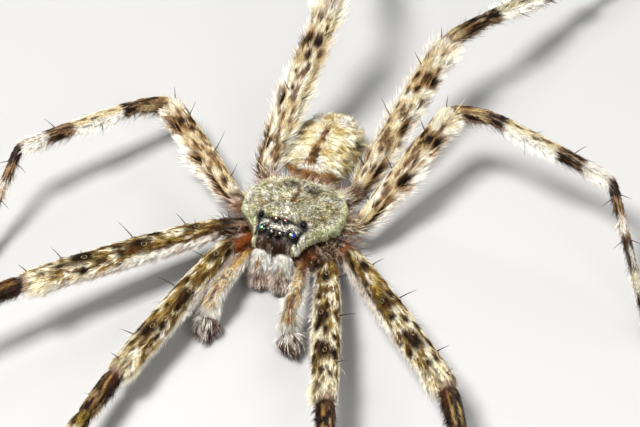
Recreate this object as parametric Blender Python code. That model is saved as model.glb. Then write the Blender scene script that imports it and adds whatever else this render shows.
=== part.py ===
"""A male lichen huntsman spider at life size, lying flat on its eight feet in a sprawled resting stance.

The body faces -Y, its left side is +X and the floor is z = 0. Every solid is the outline of its piece out
to the tips of the coat. The body, its legs and palps are one chain of separate pieces with thin cuts
between them: a limb's two pieces at a joint both end on the plane that halves the bend there.
"""

import math
from typing import NamedTuple

import bmesh
import bpy
from mathutils import Matrix, Vector

MM = 0.001
CUT = 0.06  # the gap between two pieces that meet, in mm, as every length below

BODY_TURN = -3.5  # degrees that the body is turned from the axis that the legs are laid out on

# Driving sizes of the prosoma (the front of the body, under the carapace)
CARAPACE_WIDTH = 7.76
FACE_WIDTH = 3.70  # of the upright front with the eyes and jaws
CARAPACE_WIDEST_Y = 0.2
CARAPACE_FRONT = 4.5  # from the widest line to the front edge
CARAPACE_REAR = 3.3
CARAPACE_SHIFT = -0.15  # sideways
SHOULDER = 2.35  # how far ahead of the widest line the outline has narrowed to the face
RIM_Z = 3.35
RIM_DEPTH = 0.12
DOME = 1.85  # height of the dome above the rim
STERNUM_Z = 1.15
TRUNK_WIDTH, TRUNK_LENGTH = 4.0, 5.4  # the block under the carapace that carries the coxae
TRUNK_TOP_Z = 2.8

# Driving sizes of the abdomen
ABDOMEN_LENGTH, ABDOMEN_WIDTH, ABDOMEN_HEIGHT = 8.0, 5.4, 4.2
ABDOMEN_CENTRE = Vector((-0.2, 8.45, 2.65))
ABDOMEN_DROOP = 2.0  # degrees, the rear end lower
WAIST_Z = 2.2

ANKLE_Z = 0.8  # where metatarsus and tarsus meet
TOE_Z = 0.16  # the middle of the tarsus's tip, less than its radius, which gives the foot its flat


class LegSizes(NamedTuple):
    """What both legs of a pair share."""

    coxa_angle: float  # where the coxa leaves the trunk, in degrees from the side, forward negative
    hip: tuple  # the far end of the trochanter, on the left side
    lengths: tuple  # femur, patella, tibia, metatarsus, tarsus
    girth: float


PAIRS = {
    "1": LegSizes(-40, (3.9, -4.1, 2.9), (15.4, 4.6, 15.0, 15.4, 4.0), 1.00),
    "2": LegSizes(-9, (5.1, -2.6, 3.0), (16.6, 4.8, 16.2, 16.6, 4.2), 1.03),
    "3": LegSizes(20, (5.0, 0.7, 2.92), (11.8, 3.6, 10.4, 11.0, 3.0), 0.95),
    "4": LegSizes(52, (3.8, 4.2, 2.95), (15.2, 3.9, 12.6, 14.6, 3.6), 0.98),
}

# (azimuth, pitch) of femur, patella and tibia, then the azimuths of metatarsus and tarsus. Azimuth is
# counted from +X towards +Y. The last two pitches follow from the height of the floor.
STANCE = {
    "R1": ((-103, 0), (-98, 3), (-96, 4), -92, -90),
    "L1": ((-74, 6), (-72, 10), (-74, 2), -80, -82),
    "R2": ((-131, 9), (-128, 6), (-122, -2), -112, -108),
    "L2": ((-49, 5), (-66, 8), (-68, 1), -74, -78),
    "R3": ((134, 3), (-124, 24), (-128, 6), -96, -92),
    "L3": ((68, 19), (-15, 16), (-14, -9), -60, -62),
    "R4": ((82, 32), (96, 4), (100, -20), 106, 108),
    "L4": ((78, 17), (56, 3), (66, -16), 58, 56),
}

# root, belly and tip radii of each length of a leg whose girth is 1
LEG_RADII = {
    "coxa": (0.55, 0.68, 0.76),
    "femur": (0.84, 1.14, 1.00),
    "patella": (0.70, 0.72, 0.62),
    "tibia": (0.62, 0.68, 0.54),
    "metatarsus": (0.44, 0.42, 0.36),
    "tarsus": (0.40, 0.44, 0.34),
}
COXA_ROOT_Z = 1.92

PALP_ROOT = (1.12, -3.02, 1.8)
PALP_HIP_SIDE = {"R": 2.06, "L": 2.42}
PALP_HIP_Y, PALP_HIP_Z = -4.25, 2.5
PALP_LENGTHS = {"femur": 3.72, "patella": 1.66, "tibia": 1.86, "cymbium": 1.75}
PALP_RADII = {
    "trochanter": (0.31, 0.33, 0.38),
    "femur": (0.40, 0.54, 0.56),
    "patella": (0.56, 0.64, 0.60),
    "tibia": (0.60, 0.72, 0.78),
    "cymbium": (0.74, 1.00, 0.42),
}
PALP_STANCE = {
    "R": ((-99, 3), (-96, 8), (-112, -60), (-78, -16)),
    "L": ((-80, 12), (-90, 2), (-82, -68), (-56, -24)),
}

CHELICERA_TOP = (0.82, -4.02, 3.12)
CHELICERA_TIP = (0.86, -5.25, 0.98)
CHELICERA_RADII = (0.67, 0.75, 0.62)
FANG_ROOT, FANG_TIP = (1.02, -5.50, 0.38), (0.16, -5.15, 0.36)
FANG_RADII = (0.26, 0.25, 0.14)


class Eye(NamedTuple):
    """An eye on the carapace: its distance from the middle line, its y and its radius."""

    name: str
    side: float
    y: float
    radius: float


EYES = (
    Eye("eye_AM", 0.34, -3.50, 0.24),
    Eye("eye_AL", 1.11, -3.32, 0.34),
    Eye("eye_PM", 0.38, -2.50, 0.22),
    Eye("eye_PL", 1.67, -2.20, 0.24),
)

FINISHES = {  # base colour, roughness, metallic
    "carapace_coat": ((0.50, 0.50, 0.34, 1), 0.85, 0.0),
    "leg_coat": ((0.58, 0.48, 0.30, 1), 0.85, 0.0),
    "abdomen_coat": ((0.66, 0.60, 0.42, 1), 0.85, 0.0),
    "face_coat": ((0.72, 0.66, 0.60, 1), 0.80, 0.0),
    "fang_shell": ((0.10, 0.03, 0.02, 1), 0.25, 0.0),
    "eye": ((0.01, 0.01, 0.012, 1), 0.08, 0.0),
}


def clear_scene():
    for thing in list(bpy.data.objects):
        bpy.data.objects.remove(thing)


def finish(name):
    """The material of one of FINISHES, made once."""
    made = bpy.data.materials.get(name)
    if made:
        return made
    colour, roughness, metallic = FINISHES[name]
    made = bpy.data.materials.new(name)
    made.use_nodes = True
    shader = made.node_tree.nodes["Principled BSDF"]
    shader.inputs["Base Color"].default_value = colour
    shader.inputs["Roughness"].default_value = roughness
    shader.inputs["Metallic"].default_value = metallic
    return made


def loft(name, rings, material):
    """One closed body through rings of equally many points, given in mm, with a fan over each end."""
    shape = bmesh.new()
    loops = [[shape.verts.new(point * MM) for point in ring] for ring in rings]
    count = len(loops[0])
    for near, far in zip(loops, loops[1:]):
        for i in range(count):
            j = (i + 1) % count
            shape.faces.new((near[i], near[j], far[j], far[i]))
    shape.faces.new(list(reversed(loops[0])))
    shape.faces.new(loops[-1])
    bmesh.ops.recalc_face_normals(shape, faces=shape.faces)
    caps = [face for face in shape.faces if len(face.verts) > 4]
    bmesh.ops.poke(shape, faces=caps)
    mesh = bpy.data.meshes.new(name)
    shape.to_mesh(mesh)
    shape.free()
    mesh.shade_smooth()
    mesh.materials.append(finish(material))
    made = bpy.data.objects.new(name, mesh)
    bpy.context.scene.collection.objects.link(made)
    return made


def heading(azimuth, pitch):
    """The unit vector at these angles, in degrees."""
    turn, rise = math.radians(azimuth), math.radians(pitch)
    return Vector((math.cos(rise) * math.cos(turn), math.cos(rise) * math.sin(turn), math.sin(rise)))


def swelling(segment_radii, share):
    """Radius at a share of a length: from root to tip along a straight taper, with the belly's swell added."""
    root, belly, tip = segment_radii
    straight = root + (tip - root) * share
    middle = (root + tip) / 2
    return straight + (belly - middle) * math.sin(math.pi * share ** 0.8)


def limb_rings(start, end, start_normal, end_normal, radii, sides, stations, floor=None):
    """Rings along a straight length whose end rings lie in the planes of the joints there.

    Each point of a ring is slid along the length until it lies in the joint's plane, wholly at the end
    itself and less within two radii of it.
    """
    axis = end - start
    length = axis.length
    along = axis.normalized()
    side = along.cross(Vector((0, 0, 1))).normalized()
    rise = side.cross(along)
    rings = []
    for k in range(stations):
        share = k / (stations - 1)
        radius = swelling(radii, share)
        pull_start = max(0.0, 1 - share * length / (2.2 * radii[0]))
        pull_end = max(0.0, 1 - (1 - share) * length / (2.2 * radii[2]))
        ring = []
        for i in range(sides):
            turn = 2 * math.pi * i / sides
            offset = (side * math.cos(turn) + rise * math.sin(turn)) * radius
            slide = -pull_start * offset.dot(start_normal) / along.dot(start_normal)
            slide -= pull_end * offset.dot(end_normal) / along.dot(end_normal)
            point = start + along * (share * length + slide) + offset
            if floor is not None:
                point.z = max(point.z, floor)
            ring.append(point)
        rings.append(ring)
    return rings


def joint_normals(points):
    """The normal of the plane that halves the bend at each inner point of a chain, and the end ones."""
    ways = [(b - a).normalized() for a, b in zip(points, points[1:])]
    inner = [(a + b).normalized() for a, b in zip(ways, ways[1:])]
    return [ways[0], *inner, ways[-1]]


def cut_back(start, end, start_normal, end_normal):
    """The length's two ends, each half a cut back from its joint's plane."""
    along = (end - start).normalized()
    return (
        start + along * (CUT / 2 / along.dot(start_normal)),
        end - along * (CUT / 2 / along.dot(end_normal)),
    )


def mirrored(place, sign):
    return Vector((place[0] * sign, place[1], place[2]))


def turned(x, y, z):
    """A point or direction given along the body's own axis, turned with the body."""
    return Matrix.Rotation(math.radians(BODY_TURN), 3, "Z") @ Vector((x, y, z))


def trunk_point(angle, z, share=1.0, grow=0.0):
    """A point on the trunk's upright elliptic wall, at an angle in degrees from the left side."""
    turn = math.radians(angle)
    x = (TRUNK_WIDTH / 2 * share + grow) * math.cos(turn)
    y = (TRUNK_LENGTH / 2 * share + grow) * math.sin(turn)
    return turned(x, y, z)


def trunk_normal(angle):
    turn = math.radians(angle)
    return turned(math.cos(turn) / TRUNK_WIDTH, math.sin(turn) / TRUNK_LENGTH, 0).normalized()


def leg_points(pair, stance, sign):
    """The joints of a leg: hip, knee, patella's end, tibia's end, ankle and toe."""
    points = [mirrored(pair.hip, sign)]
    for (azimuth, pitch), length in zip(stance[:3], pair.lengths):
        points.append(points[-1] + heading(azimuth, pitch) * length)
    for azimuth, length, height in zip(stance[3:], pair.lengths[3:], (ANKLE_Z, TOE_Z)):
        pitch = math.degrees(math.asin((height - points[-1].z) / length))
        points.append(points[-1] + heading(azimuth, pitch) * length)
    return points


def build_leg(name):
    """Coxa, femur, patella, tibia and foot (metatarsus with tarsus) of one leg."""
    sign = 1 if name[0] == "L" else -1
    pair = PAIRS[name[1]]
    angle = pair.coxa_angle if sign > 0 else 180 - pair.coxa_angle
    points = [trunk_point(angle, COXA_ROOT_Z, grow=CUT), *leg_points(pair, STANCE[name], sign)]
    normals = joint_normals(points)
    normals[0] = trunk_normal(angle)
    radii = {part: [r * pair.girth for r in sizes] for part, sizes in LEG_RADII.items()}
    plan = (("coxa", 10, 4), ("femur", 12, 7), ("patella", 12, 5), ("tibia", 10, 6))
    for k, (part, sides, stations) in enumerate(plan):
        start, end = cut_back(points[k], points[k + 1], normals[k], normals[k + 1])
        rings = limb_rings(start, end, normals[k], normals[k + 1], radii[part], sides, stations)
        loft(f"{part}_{name}", rings, "leg_coat")
    start, _ = cut_back(points[4], points[5], normals[4], normals[5])
    rings = limb_rings(start, points[5], normals[4], normals[5], radii["metatarsus"], 10, 6)
    rings += limb_rings(points[5], points[6], normals[5], normals[6], radii["tarsus"], 10, 5, floor=0.0)[1:]
    toe, way = points[6], normals[6]
    blunt = [toe + (point - toe) * 0.55 + way * 0.16 for point in rings[-1]]
    rings.append([Vector((p.x, p.y, max(p.z, 0.0))) for p in blunt])
    loft(f"foot_{name}", rings, "leg_coat")


def build_palp(side):
    """The palp's limb up to its tibia, and the swollen tip of a male's palp."""
    sign = 1 if side == "L" else -1
    root_side, root_y, root_z = PALP_ROOT
    points = [
        on_carapace(root_side * sign, root_y, root_z),
        on_carapace(PALP_HIP_SIDE[side] * sign, PALP_HIP_Y, PALP_HIP_Z),
    ]
    for (azimuth, pitch), length in zip(PALP_STANCE[side], PALP_LENGTHS.values()):
        points.append(points[-1] + heading(azimuth, pitch) * length)
    normals = joint_normals(points)
    rings = []
    for k, part in enumerate(("trochanter", "femur", "patella", "tibia")):
        stations = 3 if part == "trochanter" else 4
        end = points[k + 1]
        if part == "tibia":
            end = cut_back(points[k], end, normals[k], normals[k + 1])[1]
        made = limb_rings(points[k], end, normals[k], normals[k + 1], PALP_RADII[part], 10, stations)
        rings += made if not rings else made[1:]
    loft(f"palp_{side}", rings, "leg_coat")
    start = cut_back(points[4], points[5], normals[4], normals[5])[0]
    rings = limb_rings(start, points[5], normals[4], normals[5], PALP_RADII["cymbium"], 12, 7)
    tip = points[5]
    rings.append([tip + (point - tip) * 0.5 + normals[5] * 0.14 for point in rings[-1]])
    loft(f"cymbium_{side}", rings, "leg_coat")


def half_width(y):
    """Half the carapace's width at y: a round rear, wide shoulders and a narrow face with round corners."""
    ahead = CARAPACE_WIDEST_Y - y
    if ahead < 0:
        return CARAPACE_WIDTH / 2 * max(0.0, 1 - (ahead / CARAPACE_REAR) ** 2) ** 0.27
    widening = (CARAPACE_WIDTH - FACE_WIDTH) / 2 * math.exp(-((ahead / SHOULDER) ** 3.4))
    return (FACE_WIDTH / 2 + widening) * max(0.0, 1 - (ahead / CARAPACE_FRONT) ** 14) ** 0.25


def dome_z(x, y):
    """Height of the carapace: a ridge line along the middle, and an arch across it down to the rim."""
    ahead = CARAPACE_WIDEST_Y - y
    share, power = (ahead / CARAPACE_FRONT, 2.3) if ahead > 0 else (-ahead / CARAPACE_REAR, 1.5)
    ridge = max(0.0, 1 - share ** power) ** (1 / power)
    across = min(1.0, abs(x) / max(half_width(y), 0.01))
    return RIM_Z + DOME * ridge * (1 - across ** 2.6) ** 0.5


def on_carapace(x, y, z):
    """A point given along the carapace's own middle line, after its turn and shift."""
    return turned(x, y, z) + Vector((CARAPACE_SHIFT, 0, 0))


def carapace_ring(turns, share, z=None):
    """The outline of the carapace drawn in to a share of its size, at height z or on the dome."""
    ring = []
    for turn in turns:
        s = math.sin(turn)
        y = CARAPACE_WIDEST_Y + (CARAPACE_REAR if s > 0 else CARAPACE_FRONT) * s
        x = math.copysign(half_width(y), math.cos(turn)) * share
        y = CARAPACE_WIDEST_Y + (y - CARAPACE_WIDEST_Y) * share
        ring.append(on_carapace(x, y, dome_z(x, y) if z is None else z))
    return ring


def build_prosoma():
    """Carapace, trunk and sternum as one body: a trunk with upright walls under a wide shallow dome."""
    sides = 36
    turns = [2 * math.pi * i / sides for i in range(sides)]
    rings = []
    for z, share in ((STERNUM_Z, 0.62), (STERNUM_Z + 0.18, 0.92), (STERNUM_Z + 0.4, 1.0), (TRUNK_TOP_Z, 1.0)):
        rings.append([trunk_point(math.degrees(turn), z, share) for turn in turns])
    rings.append(carapace_ring(turns, 0.80, RIM_Z - RIM_DEPTH))
    rings.append(carapace_ring(turns, 0.96, RIM_Z - RIM_DEPTH))
    rings.append(carapace_ring(turns, 1.0, RIM_Z))
    for share in (0.975, 0.93, 0.86, 0.76, 0.62, 0.44, 0.22):
        rings.append(carapace_ring(turns, share))
    loft("prosoma", rings, "carapace_coat")


def build_eye(eye, side_name, sign):
    """A low cap on the plane that touches the carapace at the eye's place."""
    x, y, step = eye.side * sign, eye.y, 0.08
    slope_x = (dome_z(x + step, y) - dome_z(x - step, y)) / (2 * step)
    slope_y = (dome_z(x, y + step) - dome_z(x, y - step)) / (2 * step)
    normal = turned(-slope_x, -slope_y, 1).normalized()
    centre = on_carapace(x, y, dome_z(x, y))
    across = normal.cross(Vector((0, 1, 0))).normalized()
    along = across.cross(normal)
    rings = []
    for rise, share in ((0.0, 1.0), (0.42, 0.90), (0.72, 0.62), (0.85, 0.26)):
        ring = []
        for i in range(10):
            turn = 2 * math.pi * i / 10
            spoke = across * math.cos(turn) + along * math.sin(turn)
            ring.append(centre + normal * (CUT + rise * eye.radius) + spoke * share * eye.radius)
        rings.append(ring)
    loft(f"{eye.name}_{side_name}", rings, "eye")


def build_chelicera(side_name, sign):
    """One jaw, hanging from under the front of the carapace, and its folded fang."""
    top, tip, root, point = (
        on_carapace(place[0] * sign, place[1], place[2])
        for place in (CHELICERA_TOP, CHELICERA_TIP, FANG_ROOT, FANG_TIP)
    )
    way = (tip - top).normalized()
    rings = limb_rings(top, tip, Vector((0, 0, -1)), way, CHELICERA_RADII, 14, 7)
    blunt = [tip + (point - tip) * 0.6 + way * 0.2 for point in rings[-1]]
    loft(f"chelicera_{side_name}", [*rings, blunt], "face_coat")
    way = (point - root).normalized()
    loft(f"fang_{side_name}", limb_rings(root, point, way, way, FANG_RADII, 8, 4), "fang_shell")


def abdomen_frame():
    turn = Matrix.Rotation(math.radians(BODY_TURN), 3, "Z")
    return turn @ Matrix.Rotation(math.radians(-ABDOMEN_DROOP), 3, "X")


def build_abdomen():
    """Pedicel, abdomen and spinnerets: an egg with a broad front on a narrow waist."""
    frame = abdomen_frame()
    sides, stations = 26, 13
    rings = []
    for k in range(stations):
        polar = math.pi * (0.07 + 0.86 * k / (stations - 1))
        back = -math.cos(polar)  # -1 at the waist, 1 at the spinnerets
        bluntness = 0.4 if back < 0 else 0.9  # a square front and a drawn-out rear
        spread = math.sin(polar) ** bluntness
        ring = []
        for i in range(sides):
            turn = 2 * math.pi * i / sides
            point = Vector((
                ABDOMEN_WIDTH / 2 * spread * math.cos(turn),
                ABDOMEN_LENGTH / 2 * back,
                ABDOMEN_HEIGHT / 2 * spread * math.sin(turn),
            ))
            ring.append(ABDOMEN_CENTRE + frame @ point)
        rings.append(ring)
    loft("abdomen", rings, "abdomen_coat")
    waist_end = ABDOMEN_CENTRE + frame @ Vector((0, -ABDOMEN_LENGTH / 2, 0))
    waist_start = trunk_point(90, WAIST_Z, grow=CUT)
    across = trunk_normal(90)
    loft("pedicel", limb_rings(waist_start, waist_end, across, across, (0.5, 0.44, 0.5), 12, 4), "leg_coat")
    rear = ABDOMEN_CENTRE + frame @ Vector((0, ABDOMEN_LENGTH / 2 + CUT, -0.2))
    tip = rear + frame @ Vector((0, 0.75, -0.1))
    way = (tip - rear).normalized()
    loft("spinnerets", limb_rings(rear, tip, way, way, (0.50, 0.48, 0.30), 12, 4), "abdomen_coat")


def centre_on_footprint():
    """Moves every piece so that the origin is at the bottom middle of the whole spider's box."""
    pieces = [thing for thing in bpy.data.objects if thing.type == "MESH"]
    corners = [vertex.co for piece in pieces for vertex in piece.data.vertices]
    middle = [(min(c[i] for c in corners) + max(c[i] for c in corners)) / 2 for i in range(2)]
    shift = Matrix.Translation((-middle[0], -middle[1], 0))
    for piece in pieces:
        piece.data.transform(shift)


def main():
    clear_scene()
    build_prosoma()
    for eye in EYES:
        build_eye(eye, "R", -1)
        build_eye(eye, "L", 1)
    for side_name, sign in (("R", -1), ("L", 1)):
        build_chelicera(side_name, sign)
        build_palp(side_name)
    build_abdomen()
    for name in STANCE:
        build_leg(name)
    centre_on_footprint()


main()
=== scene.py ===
"""A life-size male lichen huntsman spider: its skin, coat, eyes, fangs, palp bulbs, spines and claws.

Lengths are in millimetres and angles in degrees, on the axes that the legs are laid out on: the body faces
-Y, its left side is +X and the floor is z = 0. Meshes are written in metres, moved into the frame.
"""

import itertools
import logging
import math
from abc import ABC, abstractmethod
from dataclasses import dataclass, field
from enum import Enum, IntEnum
from typing import Callable

import bpy
import numpy as np
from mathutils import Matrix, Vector
from numpy.typing import NDArray


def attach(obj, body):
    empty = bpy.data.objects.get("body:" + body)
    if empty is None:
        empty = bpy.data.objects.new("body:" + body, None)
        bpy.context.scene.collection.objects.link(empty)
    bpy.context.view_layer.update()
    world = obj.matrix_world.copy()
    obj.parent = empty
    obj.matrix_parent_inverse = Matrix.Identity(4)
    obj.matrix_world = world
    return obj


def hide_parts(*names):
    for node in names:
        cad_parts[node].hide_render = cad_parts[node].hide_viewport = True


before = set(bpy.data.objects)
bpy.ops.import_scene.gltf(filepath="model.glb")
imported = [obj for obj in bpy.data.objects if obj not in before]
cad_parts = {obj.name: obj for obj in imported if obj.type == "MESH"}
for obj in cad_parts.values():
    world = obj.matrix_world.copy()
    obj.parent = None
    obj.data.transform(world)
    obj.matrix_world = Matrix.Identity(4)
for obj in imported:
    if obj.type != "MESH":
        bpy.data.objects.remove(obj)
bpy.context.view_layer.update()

Array = NDArray[np.float64]
Socket = bpy.types.NodeSocket
Material = bpy.types.Material
Piece = bpy.types.Object
log = logging.getLogger("huntsman")

MM = 0.001
BODY = "root"
COAT_LIMIT = 196_000  # triangles in one piece of coat
PATCH = 0.003  # how wide one hair is on its map


# ---- numbers


def unit(vectors: Array) -> Array:
    """Each row at length 1."""
    return vectors / np.maximum(np.linalg.norm(vectors, axis=-1, keepdims=True), 1e-12)


def smooth(low: float, high: float, x: Array) -> Array:
    """A soft step: 0 below `low`, 1 above `high`, 3t^2 - 2t^3 between."""
    t = np.clip((x - low) / (high - low), 0.0, 1.0)
    return t * t * (3 - 2 * t)


def band(x: Array, start: float, end: float, soft: float) -> Array:
    """1 between `start` and `end`, 0 outside, with soft edges."""
    return smooth(start - soft, start + soft, x) * (1 - smooth(end - soft, end + soft, x))


def bell(x: Array, middle: float, width: float, power: float = 2) -> Array:
    """1 at the middle and e to the power of -(distance / width) ^ power beside it."""
    return np.exp(-(((x - middle) / width) ** power))


def turned(points: Array, degrees: float) -> Array:
    """Points turned about the upright axis."""
    c, s = math.cos(math.radians(degrees)), math.sin(math.radians(degrees))
    return np.stack([points[..., 0] * c - points[..., 1] * s, points[..., 0] * s + points[..., 1] * c,
                     points[..., 2]], axis=-1)


def columns(*parts: Array) -> Array:
    """Arrays or numbers side by side as the last axis."""
    return np.stack(np.broadcast_arrays(*parts), axis=-1).astype(float)


def spoke(turn: Array, first: Array, second: Array) -> Array:
    """The first direction turned towards the second: cosine of one plus sine of the other."""
    return first * np.cos(turn)[..., None] + second * np.sin(turn)[..., None]


def read(places: Array, knots: Array, table: Array) -> Array:
    """Rows of a table of three columns, read between its knots."""
    return np.stack([np.interp(places, knots, column) for column in table.T], axis=-1)


def chance(cells: Array) -> Array:
    """A number from 0 to 1 for each whole-numbered cell: the fraction of a large sine of its place."""
    value = np.sin(cells @ np.array([127.1, 311.7, 74.7])) * 43758.5453
    return value - np.floor(value)


def cloud(points: Array, size: float) -> Array:
    """Smooth noise from 0 to 1.

    The corners of cubes `size` wide have random numbers, and between them a soft step blends the eight.

    Args:
        points: Places, one a row.
        size: Width of the noise's blotches, in mm.

    Returns:
        One number for each place.
    """
    scaled = points / size
    base = np.floor(scaled)
    weight = smooth(0, 1, scaled - base)
    total = np.zeros(len(points))
    for corner in itertools.product((0, 1), repeat=3):
        share = np.prod(np.where(np.array(corner), weight, 1 - weight), axis=1)
        total += share * chance(base + corner)
    return total


# ---- colours and finishes


def linear(code: str) -> Array:
    """Linear red, green and blue of a display colour: each value raised to 2.2."""
    return np.array([int(code[i:i + 2], 16) / 255 for i in (1, 3, 5)]) ** 2.2


class Hue(Enum):
    """The colours of skin and hair, as they look in plain light."""

    WHITE = "#F4EEE0"
    CREAM = "#EADFBC"
    STRAW = "#CDB684"
    GOLD = "#A4893E"
    OLIVE = "#64501F"
    BROWN = "#4C341D"
    DARK = "#21150B"
    BLACK = "#100C09"
    PINK = "#D9C6B8"
    TAN = "#A98F78"
    MAUVE = "#6E564B"
    RUST = "#8E6645"
    RUSSET = "#7E4420"
    CLAY = "#A27450"
    CHESTNUT = "#452215"
    OCHRE = "#A5793E"
    GREY = "#A09A8C"
    SLATE = "#45423E"
    LICHEN = "#C0BB88"
    MOSS = "#6C6636"
    ASH = "#CFC9B2"
    RIM = "#DDE2AC"
    AMBER = "#A2561F"
    HONEY = "#D6B06A"

    @property
    def rgb(self) -> Array:
        """The colour's linear values."""
        return linear(self.value)


Ink = Array | Hue  # linear values, one row or many, or a named colour


def mix(under: Ink, over: Ink, share: Array | float) -> Array:
    """Each row of `under` turned into `over` by its share."""
    under, over = (ink.rgb if isinstance(ink, Hue) else ink for ink in (under, over))
    return under + (over - under) * np.asarray(share)[..., None]


class NodeTree:
    """A Principled material under construction."""

    def __init__(self, name: str) -> None:
        """Starts a material with its shader.

        Args:
            name: The material's name.
        """
        self.material = bpy.data.materials.new(name)
        self.material.use_nodes = True
        self.nodes = self.material.node_tree.nodes
        self.links = self.material.node_tree.links
        self.shader = self.nodes["Principled BSDF"]

    def node(self, kind: str, **settings: object) -> bpy.types.Node:
        """Adds a node.

        Args:
            kind: Blender's name for the node, without "ShaderNode".
            **settings: Properties to set on it.

        Returns:
            The new node.
        """
        made = self.nodes.new("ShaderNode" + kind)
        for key, value in settings.items():
            setattr(made, key, value)
        return made

    def set(self, **values: float) -> None:
        """Sets the shader's sockets, named with _ for a space."""
        for key, value in values.items():
            self.shader.inputs[key.replace("_", " ")].default_value = value

    def noise(self, per_mm: float, detail: float = 3.0, stretch: tuple = (1, 1, 1)) -> Socket:
        """Adds noise on the object's own coordinates.

        Args:
            per_mm: Blotches to a millimetre.
            detail: Octaves.
            stretch: Factors on the three axes.

        Returns:
            The noise's factor.
        """
        place = self.node("TexCoord").outputs["Object"]
        mapping = self.node("Mapping")
        mapping.inputs["Scale"].default_value = stretch
        self.links.new(place, mapping.inputs["Vector"])
        made = self.node("TexNoise")
        made.inputs["Scale"].default_value = per_mm / MM
        made.inputs["Detail"].default_value = detail
        self.links.new(mapping.outputs["Vector"], made.inputs["Vector"])
        return made.outputs["Fac"]

    def ranged(
        self, value: Socket, low: float, high: float, from_low: float = 0.3, from_high: float = 0.7
    ) -> Socket:
        """Maps a value's range onto another one."""
        made = self.node("MapRange")
        ends = {"From Min": from_low, "From Max": from_high, "To Min": low, "To Max": high}
        for key, number in ends.items():
            made.inputs[key].default_value = number
        self.links.new(value, made.inputs["Value"])
        return made.outputs["Result"]

    def attribute(self, name: str, output: str) -> Socket:
        """Reads a point attribute of the mesh."""
        return self.node("Attribute", attribute_name=name).outputs[output]

    def scaled(self, colour: Socket, *factors: Socket) -> Socket:
        """Multiplies a colour by grey factors, one after the other."""
        for factor in factors:
            made = self.node("VectorMath", operation="SCALE")
            self.links.new(colour, made.inputs["Vector"])
            self.links.new(factor, made.inputs["Scale"])
            colour = made.outputs["Vector"]
        return colour

    def bump(self, height: Socket, depth: float, strength: float) -> None:
        """Gives the shader bumps.

        Args:
            height: The height from 0 to 1.
            depth: How deep the bumps are, in mm.
            strength: How much they turn the surface.
        """
        made = self.node("Bump")
        made.inputs["Distance"].default_value = depth * MM
        made.inputs["Strength"].default_value = strength
        self.links.new(height, made.inputs["Height"])
        self.links.new(made.outputs["Normal"], self.shader.inputs["Normal"])

    def colour(self, source: Socket) -> None:
        """Feeds the shader's base colour."""
        self.links.new(source, self.shader.inputs["Base Color"])

    def rough(self, value: Socket, middle: float, below: float, above: float) -> None:
        """Lets the shader's roughness vary with a value, from below its middle to above it."""
        self.links.new(self.ranged(value, middle - below, middle + above), self.shader.inputs["Roughness"])


@dataclass(frozen=True)
class SkinFinish:
    """Skin under the coat: the markings' colour with fine wrinkles and pore noise, which also darkens it to
    between 0.28 and 0.6 of the markings as painted shade under the coat, and a slight gloss.
    """

    name: str = "skin"
    roughness: float = 0.5
    depth: float = 0.05

    def material(self) -> Material:
        """Builds the node material."""
        tree = NodeTree(self.name)
        pores_and_shade = tree.noise(9.0, 4.0)
        # painted shade: the pore noise also darkens all skin to 0.28 to 0.6 of its markings, for the shade
        # under the coat
        tree.colour(tree.scaled(tree.attribute("tint", "Color"), tree.ranged(pores_and_shade, 0.28, 0.6)))
        tree.rough(tree.noise(3.0), self.roughness, 0.12, 0.15)
        tree.set(Specular_IOR_Level=0.2)
        tree.bump(pores_and_shade, self.depth, 0.6)
        return tree.material


@dataclass(frozen=True)
class HairFinish:
    """Hair: each tuft's own colour, with painted shade darkening it at the root and painted light paling it
    at the tip, with a soft sheen.
    """

    name: str
    roughness: float = 0.6
    # root and tip scale the colour: painted shade at the root, painted light at the tip
    root: float = 0.32
    tip: float = 1.15

    def material(self) -> Material:
        """Builds the node material."""
        tree = NodeTree(self.name)
        # painted shade at the root, rising to painted light at the tip
        shade = tree.ranged(tree.attribute("along", "Fac"), self.root, self.tip, 0.0, 0.8)
        streak = tree.ranged(tree.noise(7.0), 0.84, 1.12)
        tree.colour(tree.scaled(tree.attribute("tint", "Color"), shade, streak))
        tree.rough(tree.noise(2.0), self.roughness, 0.08, 0.1)
        tree.set(Specular_IOR_Level=0.08)
        tree.bump(tree.noise(30.0, 2.0), 0.01, 0.3)
        return tree.material


@dataclass(frozen=True)
class HornFinish:
    """Horn of fangs, spines, claws and the palps' bulbs: the piece's own colour under a hard gloss."""

    name: str
    roughness: float = 0.22
    coat: float = 0.5

    def material(self) -> Material:
        """Builds the node material."""
        tree = NodeTree(self.name)
        grain = tree.noise(6.0, 3.0, (1, 1, 2.5))
        tree.colour(tree.scaled(tree.attribute("tint", "Color"), tree.ranged(grain, 0.75, 1.25)))
        tree.rough(grain, self.roughness, 0.05, 0.12)
        tree.set(Coat_Weight=self.coat, Coat_Roughness=0.1)
        tree.bump(grain, 0.01, 0.25)
        return tree.material


@dataclass(frozen=True)
class LensFinish:
    """A dark lens with painted reflections in colour on part of it, under a clear wet coat."""

    name: str = "lens"
    dull: float = 0.0

    def material(self) -> Material:
        """Builds the node material."""
        tree = NodeTree(self.name)
        haze = tree.noise(4.0)
        tree.colour(tree.scaled(tree.attribute("tint", "Color"), tree.ranged(haze, 0.9, 1.1)))
        tree.rough(haze, 0.04 + 0.35 * self.dull, 0.0, 0.05)
        tree.set(Coat_Weight=1 - self.dull, Coat_Roughness=0.02, Specular_IOR_Level=0.6 - 0.5 * self.dull)
        return tree.material


@dataclass(frozen=True)
class FloorFinish:
    """A plain pale floor with a very faint tooth."""

    colour: tuple = (0.35, 0.345, 0.335, 1.0)

    def material(self) -> Material:
        """Builds the node material."""
        tree = NodeTree("floor")
        tree.shader.inputs["Base Color"].default_value = self.colour
        tree.set(Roughness=0.8)
        tree.bump(tree.noise(0.8), 0.02, 0.15)
        return tree.material


# ---- meshes


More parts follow.
